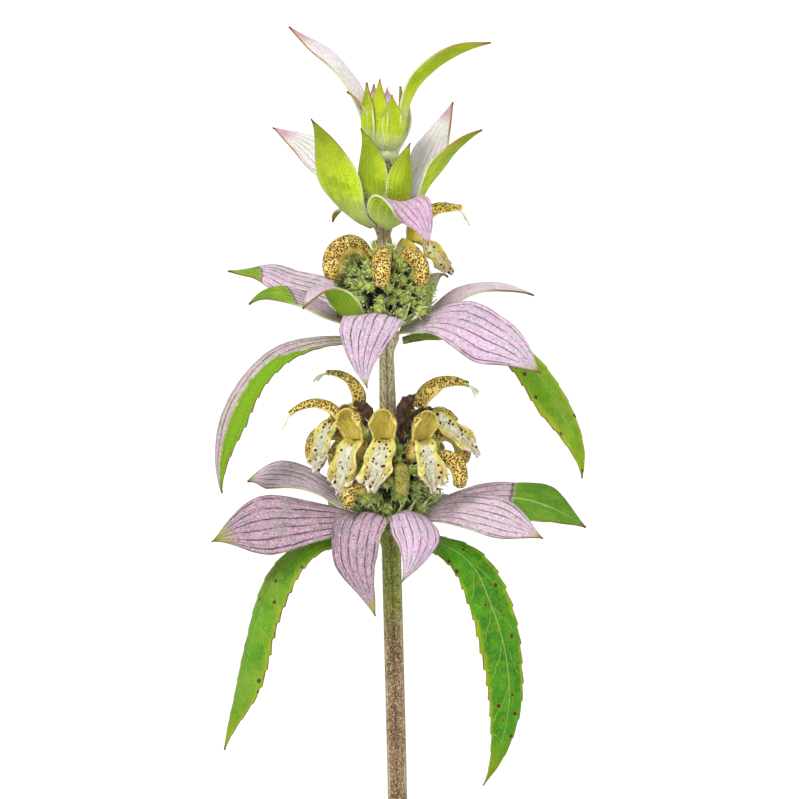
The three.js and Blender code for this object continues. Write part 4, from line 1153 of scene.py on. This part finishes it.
BUD_BASE, BUD_FOOT = 275.8, (3.2, 3.5)
BUD_BLADES = [
    dict(turn=272, climb=[34, 84, 88, 74, 54, 42, 36], length=11.8, width=3.8, peak=0.45),
    dict(turn=300, climb=[30, 80, 90, 88, 86], length=12.4, width=4.2, peak=0.5),
    dict(turn=212, climb=[32, 80, 86, 86, 88], length=11.6, width=4.2, peak=0.5),
    dict(turn=74, climb=[30, 82, 94, 98, 92], length=11.6, width=4, peak=0.5),
    dict(turn=176, climb=[32, 80, 90, 92], length=11.2, width=4.2, peak=0.5),
    dict(turn=336, climb=[30, 84, 98, 98, 92], length=13, width=4, peak=0.45),
    dict(turn=22, climb=[30, 84, 96, 98], length=10.4, width=4.2, peak=0.5),
    dict(turn=128, climb=[32, 80, 86, 90], length=11.2, width=4.2, peak=0.5),
]
grow_tuft("top_bud", BUD_BASE, 0, 0, BUD_FOOT, BUD_BLADES, TOP_SIDES, bud_collar)

AXILS = {"front": (149.6, 24), "back": (149.6, 204), "left": (123.6, 290), "right": (123.6, 110)}
SHOOT = [(0, [70, 56, 40], 12, 4), (-62, [62, 46, 26], 15, 4.6), (62, [62, 46, 26], 14, 4.6)]
for side_name, (z, turn) in AXILS.items():
    shoot = [dict(turn=turn + aside, climb=climb, length=length, width=width, peak=0.5, fold=0.2)
             for aside, climb, length, width in SHOOT]
    grow_tuft(f"axil_tuft_{side_name}", z, turn, 3.6, (1.2, 1.2), shoot, LEAF_SIDES, leaf_under)
print("bud and tufts:", 1 + len(AXILS))

# %% [markdown]
# ## The flower heads
#
# A head is a ball of calyces round the stem. Each calyx is a green tube that opens in five teeth, with the
# down in its mouth closing it like a button. They are packed by the golden angle, which is how such heads
# really fill. Corollas stand out of some of them: open ones with a hood and a hanging lip, hooked closed
# ones, and spent ones. Turn, out and lift give each corolla's throat, as in the frame's own solids.

# %% List the heads
def corolla(turn, out, lift, tilt=0, size=1, form="arched", face=None, sway=0, twist=0):
    """Where a throat is, the way that its lip faces, and how far the lip sways sideways and twists."""
    return dict(turn=turn, out=out, lift=lift, tilt=tilt, size=size, form=form, sway=sway, twist=twist,
                face=turn if face is None else face)


HEADS = {
    "lower_head": dict(
        z=213, core_lift=8.6, core_radius=5, core_height=6, calyces=134, lowest=-0.6, highest=0.99,
        calyx_length=7.2, calyx_radius=0.98, bractlets=(60, 2.6, 6.8),
        open=[corolla(353, 9, 14.4, form="raised", sway=-2), corolla(32, 9.2, 14, form="raised", sway=1.2),
              corolla(321, 9.2, 14, size=1.05, form="raised", sway=-1.2),
              corolla(280, 8.6, 16.8, size=0.94, face=316, sway=-1.4),
              corolla(246, 6, 18.6, 35, 0.9), corolla(95, 4.8, 18.8, 16, form="spreading", twist=60),
              corolla(142, 8.6, 13.8), corolla(206, 8.6, 14.2)],
        closed=[corolla(262, 8.4, 13), corolla(62, 9, 9.4, size=0.9), corolla(322, 8.2, 5.4, size=0.7),
                corolla(10, 8, 8.4, size=0.75, form="young"), corolla(112, 8.4, 12.6), corolla(176, 8.2, 11),
                corolla(228, 8.2, 10.6, size=0.9)],
        spent=[corolla(290, 4.2, 17.6, 20), corolla(36, 4, 17.6, 30, 1.3), corolla(130, 4.4, 18, 25),
               corolla(14, 6, 14.6, 40, 1.15), corolla(60, 5.4, 16.4, 20, 1.1), corolla(190, 4.2, 17.4, 20)]),
    "middle_head": dict(
        z=246, core_lift=6.4, core_radius=4.6, core_height=4.2, calyces=120, lowest=-0.46, highest=0.99,
        calyx_length=6.6, calyx_radius=0.94, bractlets=(60, 2.3, 7),
        open=[corolla(125, 5.4, 14.2, form="tall", twist=72), corolla(184, 4.6, 12, 52, 0.75)],
        closed=[corolla(302, 5.8, 12.4, size=1.05), corolla(356, 6, 11.2, size=0.95),
                corolla(38, 5.4, 11, size=0.9), corolla(150, 6, 10.6, size=0.9),
                corolla(226, 6, 11.2, size=0.95)],
        spent=[]),
    "upper_head": dict(
        z=264.8, core_lift=5.6, core_radius=2.7, core_height=3.6, calyces=22, lowest=0.5, highest=0.99,
        calyx_length=3.4, calyx_radius=0.7, bractlets=(16, 1.6, 4.2), open=[], closed=[], spent=[]),
}


def flower_path(head, flower, pairs):
    """Points in a flower's own upright plane, from its throat: outwards and up."""
    c, s = math.cos(math.radians(flower["tilt"])), math.sin(math.radians(flower["tilt"]))
    points = []
    for r, z in pairs:
        far = flower["out"] + flower["size"] * (r * c - z * s)
        point = stem_at(head["z"]) + heading(flower["turn"]) * far
        point.z = head["z"] + flower["lift"] + flower["size"] * (r * s + z * c)
        points.append(point)
    return points


def flower_root(head, flower):
    root = stem_at(head["z"]) + heading(flower["turn"]) * flower["out"] * 0.35
    root.z = head["z"] + mix(head["core_lift"], flower["lift"], 0.35)
    return root


print("corollas:", sum(len(h["open"]) + len(h["closed"]) + len(h["spent"]) for h in HEADS.values()))

# %% [markdown]
# ### Corollas
#
# The hood is a channel: a strip whose section is most of a circle, wide at the throat and pinched to a beak.
# The lip is a strip that hangs, dished in the middle with its rim rolled back. Its far edge isn't cut
# straight: the strip runs further in the middle than at the sides, which leaves three lobes with a notch in
# the middle one. Tubes and clubs are rings along a path.

# %% Shape the corolla's parts
ARCH = dict(hood=[(-0.6, 1.2), (1.2, 3.6), (4.2, 4.6), (7.2, 4), (9.6, 2.4)], bow=(96, 128),
            beak=[(8.6, 2.2), (9.7, 1.5)])
FORMS = {
    "arched": dict(
        **ARCH, depth=0.85, hood_halves=[1.8, 1.75, 1.35, 0.9, 0.7, 0.4],
        lip=[(0, 0.4), (1.9, 0), (3, -3), (3.2, -6.4), (3.7, -9)], lip_halves=[1.6, 2, 2.2, 2.3, 2.2, 1.6]),
    "raised": dict(
        hood=[(-0.6, 0.8), (-0.1, 3.1), (0.9, 5.1), (2.4, 6)], bow=(84, 104), depth=0.85,
        hood_halves=[1.7, 1.9, 2.2, 2.35, 2.2, 1.5],
        lip=[(0, 0.4), (1.5, 0.1), (2.3, -2.4), (2.4, -5.4), (2.8, -8.2)],
        lip_halves=[1.6, 2.1, 2.4, 2.6, 2.5, 1.8]),
    "spreading": dict(
        **ARCH, depth=0.95, hood_halves=[1.9, 2.1, 1.8, 1.2, 0.85, 0.45],
        lip=[(0, 0), (2.2, -1.6), (4.2, -4), (6, -7), (7.6, -10.4)],
        lip_halves=[1.2, 1.5, 1.7, 1.8, 1.7, 1.2]),
    "tall": dict(
        hood=[(-0.6, 0.6), (-0.4, 3.2), (1.6, 5.4), (5.6, 6.6), (10.2, 6)], bow=(96, 122), depth=0.9,
        hood_halves=[1.6, 1.7, 1.5, 1.1, 1, 0.4], beak=[(9.4, 5.4), (10.5, 4.8)],
        lip=[(0, 0.4), (2, -0.2), (4.4, -1.8), (6.6, -3.6), (8.6, -5.4)],
        lip_halves=[1.2, 1.5, 1.7, 1.8, 1.6, 1.1]),
}
CLOSED_PATH = [(-1.3, 0.9), (1.4, 2.3), (4, 1.2), (4.9, -1), (4.5, -3.4)]
TUBE_PATH = [(-1.8, -1.5), (-0.4, 0.5)]
SPENT_PATH = [(-0.6, -0.5), (0.8, 1.6), (3.4, 2)]


def frame_on(spaced, turn, t):
    """Middle, side and up of a flower's path at t."""
    middle = at_share(spaced, t)
    forward = (at_share(spaced, min(1, t + 0.02)) - at_share(spaced, max(0, t - 0.02))).normalized()
    side = heading(turn + 90)
    return middle, side, forward.cross(side).normalized()


def hood_sheet(head, flower):
    form = FORMS[flower["form"]]
    spaced = smooth_path(flower_path(head, flower, form["hood"]), 32)

    def shape(u, t):
        middle, side, up = frame_on(spaced, flower["turn"], t)
        half = along(form["hood_halves"], t) * flower["size"]
        bow = math.radians(mix(*form["bow"], smooth(t * 1.3))) * (1 - 2 * u)
        ridge = 0.06 * flower["size"] * math.cos(bow * 8) * smooth((1 - t) * 3)
        lift = (math.cos(bow) - 1) * half * form["depth"] + ridge
        return (middle + side * math.sin(bow) * half + up * lift) * MM

    return curved_grid(26, 34, shape)


def lip_sheet(head, flower, seed):
    form = FORMS[flower["form"]]
    spaced = smooth_path(flower_path(head, flower, form["lip"]), 32)

    def shape(u, t):
        w = 1 - 2 * u
        lobe = 1 - 0.05 * math.cos(math.pi * w / 0.3) if abs(w) < 0.3 else 1.05
        lobe -= 0.18 * smooth((abs(w) - 0.3) / 0.15) + 0.1 * smooth((abs(w) - 0.5) / 0.5) ** 2
        run = t * min(lobe, 1)
        middle, side, up = frame_on(spaced, flower["face"], run)
        twist = math.radians(flower["twist"]) * smooth(run * 2.5)
        c, s = math.cos(twist), math.sin(twist)
        side, up = side * c + up * s, up * c - side * s
        half = along(form["lip_halves"], run) * flower["size"]
        dish = 0.42 * w * w - 0.34 * w ** 6
        wave = 0.14 * math.sin(9 * t + 4 * w + seed) * w * w
        late = smooth((t - 0.5) / 0.45)
        crumple = 0.16 * math.sin(15 * w + 11 * t + seed) + 0.12 * math.sin(23 * w - 19 * t + 2 * seed)
        flare = 1 + 0.1 * math.sin(13 * t + 3 * seed + (2 if w > 0 else 0)) * abs(w)
        shift = flower["sway"] * t * t + 0.25 * math.sin(6 * t + seed) * late
        return (middle + side * (w * half * flare + shift) + up * (dish + wave + crumple * late) * half) * MM

    return curved_grid(28, 38, shape)


def tube_along(points, radii, turn, columns, rows, flatten=1, ridges=0):
    """Rings along a path, closed at both ends. The map's 0 and 1 run along its top, and 0.5 beneath."""
    spaced = smooth_path(points, rows)

    def shape(u, t):
        middle, side, up = frame_on(spaced, turn, t)
        if t in (0, 1):
            return middle * MM
        angle = math.tau * u
        end = min(1, t / 0.06, (1 - t) / 0.06)
        radius = along(radii, t) * math.sqrt(end * (2 - end)) * (1 + ridges * math.cos(5 * angle))
        return (middle + up * math.cos(angle) * radius + side * math.sin(angle) * radius * flatten) * MM

    return curved_grid(columns, rows, shape, closed=True)


# %% [markdown]
# The parts of all the corollas of one head go into a few pieces: sheets that are thickened, and solids that
# aren't. Each beak lets out a few pale stamens. A spent corolla is a thin tube, and noise crumples it.

# %% Grow the corollas
CLUB_RADII = [0.7, 0.9, 1.15, 1.4, 1.52, 1.56, 1.55, 1.42, 1.15]
SPENT_RADII = [0.7, 0.9, 1.1, 0.8, 1.1, 0.7, 0.5]
TUBE_RADII = [0.8, 1.1, 1.7, 1.5]
STAMEN_RADII = [0.2, 0.2, 0.19, 0.14]
STAMENS = 4
PETAL_THICKNESS = 0.3 * MM
SEED = 11
rng = random.Random(SEED)
noise.seed_set(SEED)


def stray(amount):
    """A random step, which is as far as amount each way."""
    return Vector([rng.uniform(-amount, amount) for _ in range(3)])


def grow_stamens(head, flower, bm):
    """A few tapering threads that hang out of the beak."""
    start, end = flower_path(head, flower, FORMS[flower["form"]]["beak"])
    for _ in range(STAMENS):
        drift = stray(0.5) - Vector((0, 0, rng.uniform(0.3, 1.1)))
        aim = ((end - start).normalized() + drift).normalized() * rng.uniform(1.7, 2.7) * flower["size"]
        thread = [start, end, end + aim * 0.5, end + aim - Vector((0, 0, 0.25))]
        pour(tube_along(thread, STAMEN_RADII, flower["turn"], 6, 10), bm)


def flower_tube(head, flower, pairs, radii, columns, rows, **shape):
    """A tube that runs from inside the head through the given points."""
    path = [flower_root(head, flower), *flower_path(head, flower, pairs)]
    return tube_along(path, [r * flower["size"] for r in radii], flower["turn"], columns, rows, **shape)


def crumple(bm, seed):
    """Pushes the skin of a limp tube in and out."""
    for vertex in bm.verts:
        place = vertex.co / MM * 0.8 + Vector((seed, 0, 0))
        vertex.co += (noise.noise_vector(place) * 0.42 + noise.noise_vector(place * 3) * 0.16) * MM
    return bm


def grow_corollas(head_name, head):
    hoods, lips, clubs, stamens, spent = (bmesh.new() for _ in range(5))
    for flower in head["open"]:
        plain = flower["form"] == "tall" or flower["tilt"] > 50
        pour(flower_tube(head, flower, TUBE_PATH, TUBE_RADII, 16, 18), clubs, 1 if plain else 0)
        pour(hood_sheet(head, flower), hoods, 2 if plain else 0)
        pour(lip_sheet(head, flower, rng.random() * 6), lips, 2 if plain else 0)
        if "beak" in FORMS[flower["form"]]:
            grow_stamens(head, flower, stamens)
    for flower in head["closed"]:
        club = flower_tube(head, flower, CLOSED_PATH, CLUB_RADII, 20, 36, flatten=1.1, ridges=0.03)
        pour(club, clubs, 2 if flower["form"] == "young" else 0)
    for k, flower in enumerate(head["spent"]):
        limp = flower_tube(head, flower, SPENT_PATH, SPENT_RADII, 14, 34, flatten=0.7, ridges=0.2)
        pour(crumple(limp, 7 * k), spent)
    sides = [hood_outside, hood_inside, hood_plain, hood_inside]
    finish_sheet(f"{head_name}_hoods", hoods, sides, PETAL_THICKNESS, head_name)
    sides = [lip_inside, lip_outside, lip_cream, lip_outside]
    finish_sheet(f"{head_name}_lips", lips, sides, PETAL_THICKNESS, head_name)
    finish_piece(f"{head_name}_closed_corollas", clubs, [freckled, plain_gold, freckled_green], head_name)
    finish_piece(f"{head_name}_stamens", stamens, [stamen_pale], head_name)
    if head["spent"]:
        finish_piece(f"{head_name}_spent_corollas", spent, [spent_brown], head_name)


for head_name, head in HEADS.items():
    if head["open"]:
        grow_corollas(head_name, head)
print("corollas grown")

# %% [markdown]
# ### Calyces
#
# One calyx is made as a pattern: ten columns round, whose rings swell from a narrow foot, turn in at the
# mouth and close over it, as a ring of down closes a real one. Five slim teeth lean out from the rim like a
# star. Copies are stretched and aimed outwards, and those in a corolla's place are left out.

# %% Grow the calyces
CALYX_RADII = [0.2, 0.42, 0.66, 0.88, 1, 0.88, 0.58, 0]
CALYX_HEIGHTS = [0, 0.25, 0.5, 0.72, 0.88, 0.97, 1.02, 1.04]
TEETH = 5
HAIRS_PER_CALYX = 18
CALYX_HAIR_WIDTH = 0.035 * MM
GOLDEN_ANGLE = 137.508
THROAT_CLEARANCE = math.radians(5)
FOOT_DEPTH = 0.45
SHADE_CORE_SHARE = 0.94


def calyx_point(u, t):
    radius, angle = along(CALYX_RADII, t), math.tau * u
    return Vector((math.cos(angle) * radius, math.sin(angle) * radius, along(CALYX_HEIGHTS, t)))


def cone_bmesh(length, **settings):
    """An open, three-sided cone."""
    bm = mapped_bmesh()
    bmesh.ops.create_cone(bm, cap_ends=False, segments=3, radius1=1, radius2=0, depth=length, calc_uvs=True,
                          **settings)
    bmesh.ops.remove_doubles(bm, verts=bm.verts, dist=1e-6)
    return bm


def calyx_tooth(angle):
    """A slim tooth, whose foot is in the rim and whose point leans out."""
    out = Vector((math.cos(angle), math.sin(angle), 0))
    bm = cone_bmesh(2)
    for vertex in bm.verts:
        x, y, z = vertex.co
        vertex.co = out * 1.5 if z > 0 else out * 0.84 + Vector((x, y, 0)) * 0.28
        vertex.co.z = 1.08 if z > 0 else 0.88 + 0.02 * x
    return bm


calyx_bm = bmesh.new()
pour(curved_grid(10, len(CALYX_RADII) - 1, calyx_point, closed=True), calyx_bm)
for k in range(TEETH):
    pour(calyx_tooth(math.tau * k / TEETH), calyx_bm, 1)
calyx_mesh = mesh_of("calyx_pattern", calyx_bm)
hair_mesh = mesh_of("hair_pattern", cone_bmesh(1, matrix=Matrix.Translation((0, 0, 0.5))))


def calyx_places(head):
    """Foot and aim of each calyx, in millimetres."""
    middle = stem_at(head["z"] + head["core_lift"])
    flowers = [*head["open"], *head["closed"], *head["spent"]]
    throats = [(flower_path(head, flower, [(0, 0)])[0] - middle).normalized() for flower in flowers]
    core = Vector((head["core_radius"], head["core_radius"], head["core_height"])) * FOOT_DEPTH
    found = []
    for k in range(head["calyces"]):
        rise = mix(head["lowest"], head["highest"], (k + 0.5) / head["calyces"])
        aim = heading(k * GOLDEN_ANGLE) * math.sqrt(1 - rise * rise) + Vector((0, 0, rise))
        if all(throat.angle(aim) > THROAT_CLEARANCE for throat in throats):
            found.append((middle + Vector(a * b for a, b in zip(aim, core)), aim))
    return found


def comb(name, hairs, solid=None, slot=None):
    """One piece of many hairs."""
    bm = bmesh.new()
    scatter(bm, hair_mesh, hairs)
    finish_piece(name, bm, [hair_white], solid, slot)


def grow_calyces(head_name, head):
    cups, hairs = [], []
    for foot, aim in calyx_places(head):
        length = head["calyx_length"] * rng.uniform(0.84, 1.07)
        radius = head["calyx_radius"] * rng.uniform(0.75, 1.15)
        lean = (aim + stray(0.13)).normalized()
        cups.append(aimed(foot * MM, lean, length * MM, radius * MM, rng.uniform(0, 6)))
        for _ in range(HAIRS_PER_CALYX):
            off = stray(1).cross(lean).normalized()
            place = foot + lean * length * rng.uniform(0.5, 0.95) + off * radius * 0.9
            hair_aim = (off + lean * rng.uniform(0.2, 1.4)).normalized()
            hairs.append(aimed(place * MM, hair_aim, rng.uniform(0.6, 1.5) * MM, CALYX_HAIR_WIDTH))
    bm = bmesh.new()
    scatter(bm, calyx_mesh, cups)
    finish_piece(f"{head_name}_calyces", bm, [calyx_green, tooth_pale], head_name)
    comb(f"{head_name}_hairs", hairs, head_name)
    middle = stem_at(head["z"] + head["core_lift"])
    # Painted shade: a near-black ball inside each head, so that the gaps between its calyces look deep.
    painted_shade_core = bulb(middle, head["core_radius"] * SHADE_CORE_SHARE, head["core_height"] * SHADE_CORE_SHARE)
    finish_piece(f"{head_name}_floor", painted_shade_core, [shade_core_finish], head_name)
    return len(cups)


for head_name, head in HEADS.items():
    print(head_name, "calyces:", grow_calyces(head_name, head))

# %% [markdown]
# ### Fine bractlets
#
# Between the outer bracts and the calyces, every whorl has a fringe of narrow green bractlets with long
# hairs. They hide the place where the bracts leave the stem. Each is a slim blade of its own.

# %% Grow the fine bractlets
BRACTLET_GRID = (4, 10)
BRACTLET_THICKNESS = 0.2 * MM


def grow_bractlets(head_name, head, count, reach, length):
    bm = bmesh.new()
    for k in range(count):
        turn = 360 * (k + rng.uniform(-0.3, 0.3)) / count
        start = stem_at(head["z"] + rng.uniform(0.4, 1.6)) + heading(turn) * reach
        climb = [rng.uniform(8, 30), rng.uniform(20, 50), rng.uniform(30, 70)]
        own = dict(turn=turn, climb=climb, length=length * rng.uniform(0.7, 1.15),
                   width=rng.uniform(0.4, 0.8), peak=0.3, neck=0.6)
        pour(grow_blade(complete_blade({"place": start}, own, k), *BRACTLET_GRID), bm)
    finish_sheet(f"{head_name}_bractlets", bm, [bractlet_green], BRACTLET_THICKNESS, head_name)


for head_name, head in HEADS.items():
    grow_bractlets(head_name, head, *head["bractlets"])
print("bractlets grown")

# %% [markdown]
# ## Hairs on the stem and the margins
#
# The whole plant is downy. On the stem the hairs are short, white and bend down, and they show most at its
# edges against the light. Along the foot of each bract a fringe of longer hairs stands out. Each hair is a
# three-sided needle, so that thousands of them cost little.

# %% Grow the hairs
STEM_HAIRS, STEM_HAIR_WIDTH = 9000, 0.022 * MM
MARGIN_HAIRS, MARGIN_HAIR_WIDTH = 46, 0.025 * MM
BUD_HAIRS, BUD_HAIR_WIDTH = 1100, 0.04 * MM
BUD_DOWN = (273.6, 279.5)


def stem_hairs():
    for _ in range(STEM_HAIRS):
        z = rng.uniform(SOIL_TOP_MM, LEVEL["top"])
        angle = rng.uniform(0, math.tau)
        skin = stem_point(angle, z, -0.05)
        aim = Vector((math.cos(angle), math.sin(angle), rng.uniform(-0.9, 0.1))) + stray(0.35)
        yield aimed(skin * MM, aim.normalized(), rng.uniform(0.25, 0.55) * MM, STEM_HAIR_WIDTH)


def margin_hairs():
    for solid_name, blade in grown_blades.items():
        if "bract" not in solid_name:
            continue
        steps = follow_midrib(blade)
        for k in range(MARGIN_HAIRS):
            t = 0.04 + 0.5 * (k + rng.random()) / MARGIN_HAIRS
            place = blade_point(blade, steps, rng.choice((0, 1)), t)
            aim = (place - blade_point(blade, steps, 0.5, t)).normalized() + stray(0.5)
            length = mix(1.1, 0.45, t * 2) * rng.uniform(0.7, 1.2)
            yield aimed(place, aim.normalized(), length * MM, MARGIN_HAIR_WIDTH)


def bud_hairs():
    """Pale down that fills the angle between the bud and the bracts below it."""
    middle = stem_at(LEVEL["top"])
    radius, half_height = BUD_FOOT
    for _ in range(BUD_HAIRS):
        outward = heading(rng.uniform(0, 360))
        z = rng.uniform(*BUD_DOWN)
        low = (BUD_BASE + half_height - z) / half_height
        reach = max(1.2, radius * math.sqrt(max(0, 1 - low ** 2)))
        skin = Vector((middle.x, middle.y, z)) + outward * reach
        aim = outward + stray(0.6) + Vector((0, 0, 0.3))
        yield aimed(skin * MM, aim.normalized(), rng.uniform(0.5, 1.4) * MM, BUD_HAIR_WIDTH)


comb("bud_hairs", list(bud_hairs()), "top_bud")
comb("stem_hairs", list(stem_hairs()), "stem")
comb("bract_margin_hairs", list(margin_hairs()), slot="lilac_bract")
print("stem hairs:", STEM_HAIRS)

# %% [markdown]
# ## The pot
#
# A plain clay pot is thrown or pressed as one round wall with a thicker band at the rim, and a hole in its
# floor lets water out. A profile spun round the upright axis makes it in one go. Its corners are drawn with
# a few extra points, because a fired rim is never sharp. Sizes come from the frame's solid.

# %% Turn the pot
pot_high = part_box("pot")[1]
RIM_RADIUS = pot_high.x
POT_HEIGHT = pot_high.z
BASE_RADIUS = 37 * MM
WALL = 4.5 * MM
BAND_HEIGHT = 19 * MM
BAND_STEP = 3 * MM
DRAIN_RADIUS = 6 * MM
POT_STEPS, WALL_CUTS = 120, 14
WAVES, WAVE_DEPTH = 55, 0.16 * MM
DENTS, DENT_DEPTH = 210, 0.05 * MM
BAND_FOOT = POT_HEIGHT - BAND_HEIGHT


def spin_profile(bm, profile, steps, closed):
    """Spins points, a radius and a height each, round the upright axis."""
    points = [bm.verts.new((radius, 0, height)) for radius, height in profile]
    edges = [bm.edges.new(pair) for pair in zip(points, points[1:] + points[:closed])]
    bmesh.ops.spin(bm, geom=points + edges, cent=(0, 0, 0), axis=(0, 0, 1), angle=math.tau, steps=steps,
                   use_merge=True, use_duplicate=False)


def rounded(corner, before, after, radius, steps=4):
    """Points of an arc that rounds a corner of a profile."""
    corner, before, after = Vector(corner), Vector(before), Vector(after)
    start = corner + (before - corner).normalized() * radius
    end = corner + (after - corner).normalized() * radius
    shares = [k / steps for k in range(steps + 1)]
    return [start.lerp(corner, share).lerp(corner.lerp(end, share), share) for share in shares]


def pot_profile():
    """Radius and height, in order from the drain hole, up the outside and down the inside."""
    wall_top = RIM_RADIUS - BAND_STEP
    corners = [
        ((DRAIN_RADIUS, 0), 0.8), ((BASE_RADIUS, 0), 1.4), ((wall_top, BAND_FOOT), 0.8),
        ((RIM_RADIUS - 0.6 * MM, BAND_FOOT + 0.5 * MM), 1.0), ((RIM_RADIUS, POT_HEIGHT), 1.6),
        ((RIM_RADIUS - WALL - 1.2 * MM, POT_HEIGHT), 1.6), ((BASE_RADIUS - WALL, WALL), 2.0),
        ((DRAIN_RADIUS, WALL), 0.8),
    ]
    points = []
    for k, (corner, radius) in enumerate(corners):
        before, after = corners[k - 1][0], corners[(k + 1) % len(corners)][0]
        points += rounded(corner, before, after, radius * MM)
    return points


def turn_pot():
    bm = bmesh.new()
    uv = bm.loops.layers.uv.new("UVMap")
    spin_profile(bm, pot_profile(), POT_STEPS, closed=True)
    long_edges = [e for e in bm.edges if abs(e.verts[0].co.z - e.verts[1].co.z) > 12 * MM]
    bmesh.ops.subdivide_edges(bm, edges=long_edges, cuts=WALL_CUTS, use_grid_fill=True)
    bmesh.ops.remove_doubles(bm, verts=bm.verts, dist=1e-6)
    bmesh.ops.recalc_face_normals(bm, faces=bm.faces)
    for vertex in bm.verts:
        uneven = noise.noise(vertex.co * WAVES) * WAVE_DEPTH + noise.noise(vertex.co * DENTS) * DENT_DEPTH
        level = Vector((vertex.co.x, vertex.co.y, 0))
        if level.length > DRAIN_RADIUS * 1.5 and vertex.co.z > 1 * MM:
            vertex.co -= level.normalized() * (uneven + WAVE_DEPTH)
    for face in bm.faces:
        for loop in face.loops:
            x, y, z = loop.vert.co
            loop[uv].uv = (math.atan2(y, x) / math.tau + 0.5, z / POT_HEIGHT)
    return bm


pot = finish_piece("pot_turned", turn_pot(), [clay_finish(POT_HEIGHT, BAND_FOOT)], "pot")
print("pot faces:", len(pot.data.polygons))

# %% [markdown]
# ## The soil
#
# Potting soil is crumbs all the way down, but only the top shows. The body is a spun profile that fills the
# pot and stops short of the stem. Its top is pushed up and down by noise, and then crumbs, bark chips and a
# little white grit are strewn on it.

# %% Fill the pot with soil
SOIL_GAP = 0.6 * MM
SOIL_FLOOR = 4.8 * MM
SOIL_LEVEL = SOIL_TOP_MM * MM
SOIL_DOME = 2.0 * MM
HOLE_RADIUS = 2.3 * MM
HOLE_FOOT = 77 * MM
SOIL_STEPS, SOIL_RINGS = 150, 44
LUMPS, LUMP_HEIGHT = 160, 0.9 * MM
CRUMBS, CRUMB_HEIGHT = 700, 0.35 * MM


def inner_radius(z):
    share = (z - WALL) / (POT_HEIGHT - WALL)
    return mix(BASE_RADIUS - WALL, RIM_RADIUS - WALL - 2 * MM, share) - SOIL_GAP


def soil_height(x, y):
    """The lumpy top, a little higher in the middle."""
    place = Vector((x, y, 0))
    reach = inner_radius(SOIL_LEVEL)
    dome = SOIL_DOME * (1 - (place.length / reach) ** 2)
    lumps = noise.fractal(place * LUMPS, 1, 2, 4) * LUMP_HEIGHT + noise.noise(place * CRUMBS) * CRUMB_HEIGHT
    return SOIL_LEVEL - SOIL_GAP + dome + lumps


def fill_with_soil():
    bm = mapped_bmesh()
    reach = inner_radius(SOIL_LEVEL)
    profile = [(0, SOIL_FLOOR), (inner_radius(SOIL_FLOOR) - 1 * MM, SOIL_FLOOR), (reach, SOIL_LEVEL - 2 * MM)]
    profile += [(mix(reach, HOLE_RADIUS, k / SOIL_RINGS), SOIL_LEVEL) for k in range(SOIL_RINGS + 1)]
    profile += [(HOLE_RADIUS, HOLE_FOOT), (0, HOLE_FOOT)]
    spin_profile(bm, profile, SOIL_STEPS, closed=False)
    bmesh.ops.remove_doubles(bm, verts=bm.verts, dist=1e-7)
    bmesh.ops.recalc_face_normals(bm, faces=bm.faces)
    for vertex in bm.verts:
        if abs(vertex.co.z - SOIL_LEVEL) < 0.1 * MM:
            vertex.co.z = soil_height(vertex.co.x, vertex.co.y)
    return bm


def strew(name, material, count, smallest, largest, flat, seed, subdivisions=1):
    """Strews squashed, turned lumps over the soil."""
    dice = random.Random(seed)
    lump = mapped_bmesh()
    bmesh.ops.create_icosphere(lump, subdivisions=subdivisions, radius=1, calc_uvs=True)
    for vertex in lump.verts:
        vertex.co *= dice.uniform(0.78, 1.15)
    places = []
    for _ in range(count):
        far = inner_radius(SOIL_LEVEL) * math.sqrt(dice.uniform(0.01, 0.93))
        angle = dice.uniform(0, math.tau)
        x, y = far * math.cos(angle), far * math.sin(angle)
        size = mix(smallest, largest, dice.random() ** 2.5) * MM
        turn = Matrix.Rotation(dice.uniform(0, 6), 4, "Z")
        tilt = Matrix.Rotation(dice.uniform(-0.5, 0.5), 4, "X")
        shape = Matrix.Diagonal((size, size * dice.uniform(0.6, 1), size * flat, 1))
        sunk = soil_height(x, y) + size * flat * 0.3
        places.append(Matrix.Translation((x, y, sunk)) @ turn @ tilt @ shape)
    bm = bmesh.new()
    scatter(bm, mesh_of("lump_pattern", lump), places)
    finish_piece(name, bm, [material], "soil")


finish_piece("soil_filled", fill_with_soil(), [soil_dark], "soil")
strew("soil_crumbs", soil_crumb, 1500, 0.35, 1.6, 0.7, seed=3)
strew("soil_clods", soil_dark, 260, 0.9, 2.4, 0.65, seed=4, subdivisions=2)
strew("bark_chips", bark_chip, 90, 1.0, 2.8, 0.28, seed=5)
strew("white_grit", white_grit, 70, 0.4, 1.2, 0.8, seed=6)
print("soil laid, crumbs and grit strewn")

# %% [markdown]
# ## The floor
#
# The floor only has to be plain, pale and wide. It isn't part of the plant.

# %% Lay the floor
floor_finish = Finish("pale_floor", 0.8, specular=0.1)
floor_finish.shader.inputs["Base Color"].default_value = (0.93, 0.93, 0.93, 1)
floor_bm = bmesh.new()
bmesh.ops.create_circle(floor_bm, cap_ends=True, segments=96, radius=FLOOR_RADIUS)
floor = bpy.data.objects.new("pale_floor", mesh_of("pale_floor", floor_bm))
floor.data.materials.append(floor_finish.material)
bpy.context.scene.collection.objects.link(floor)
print("floor laid")
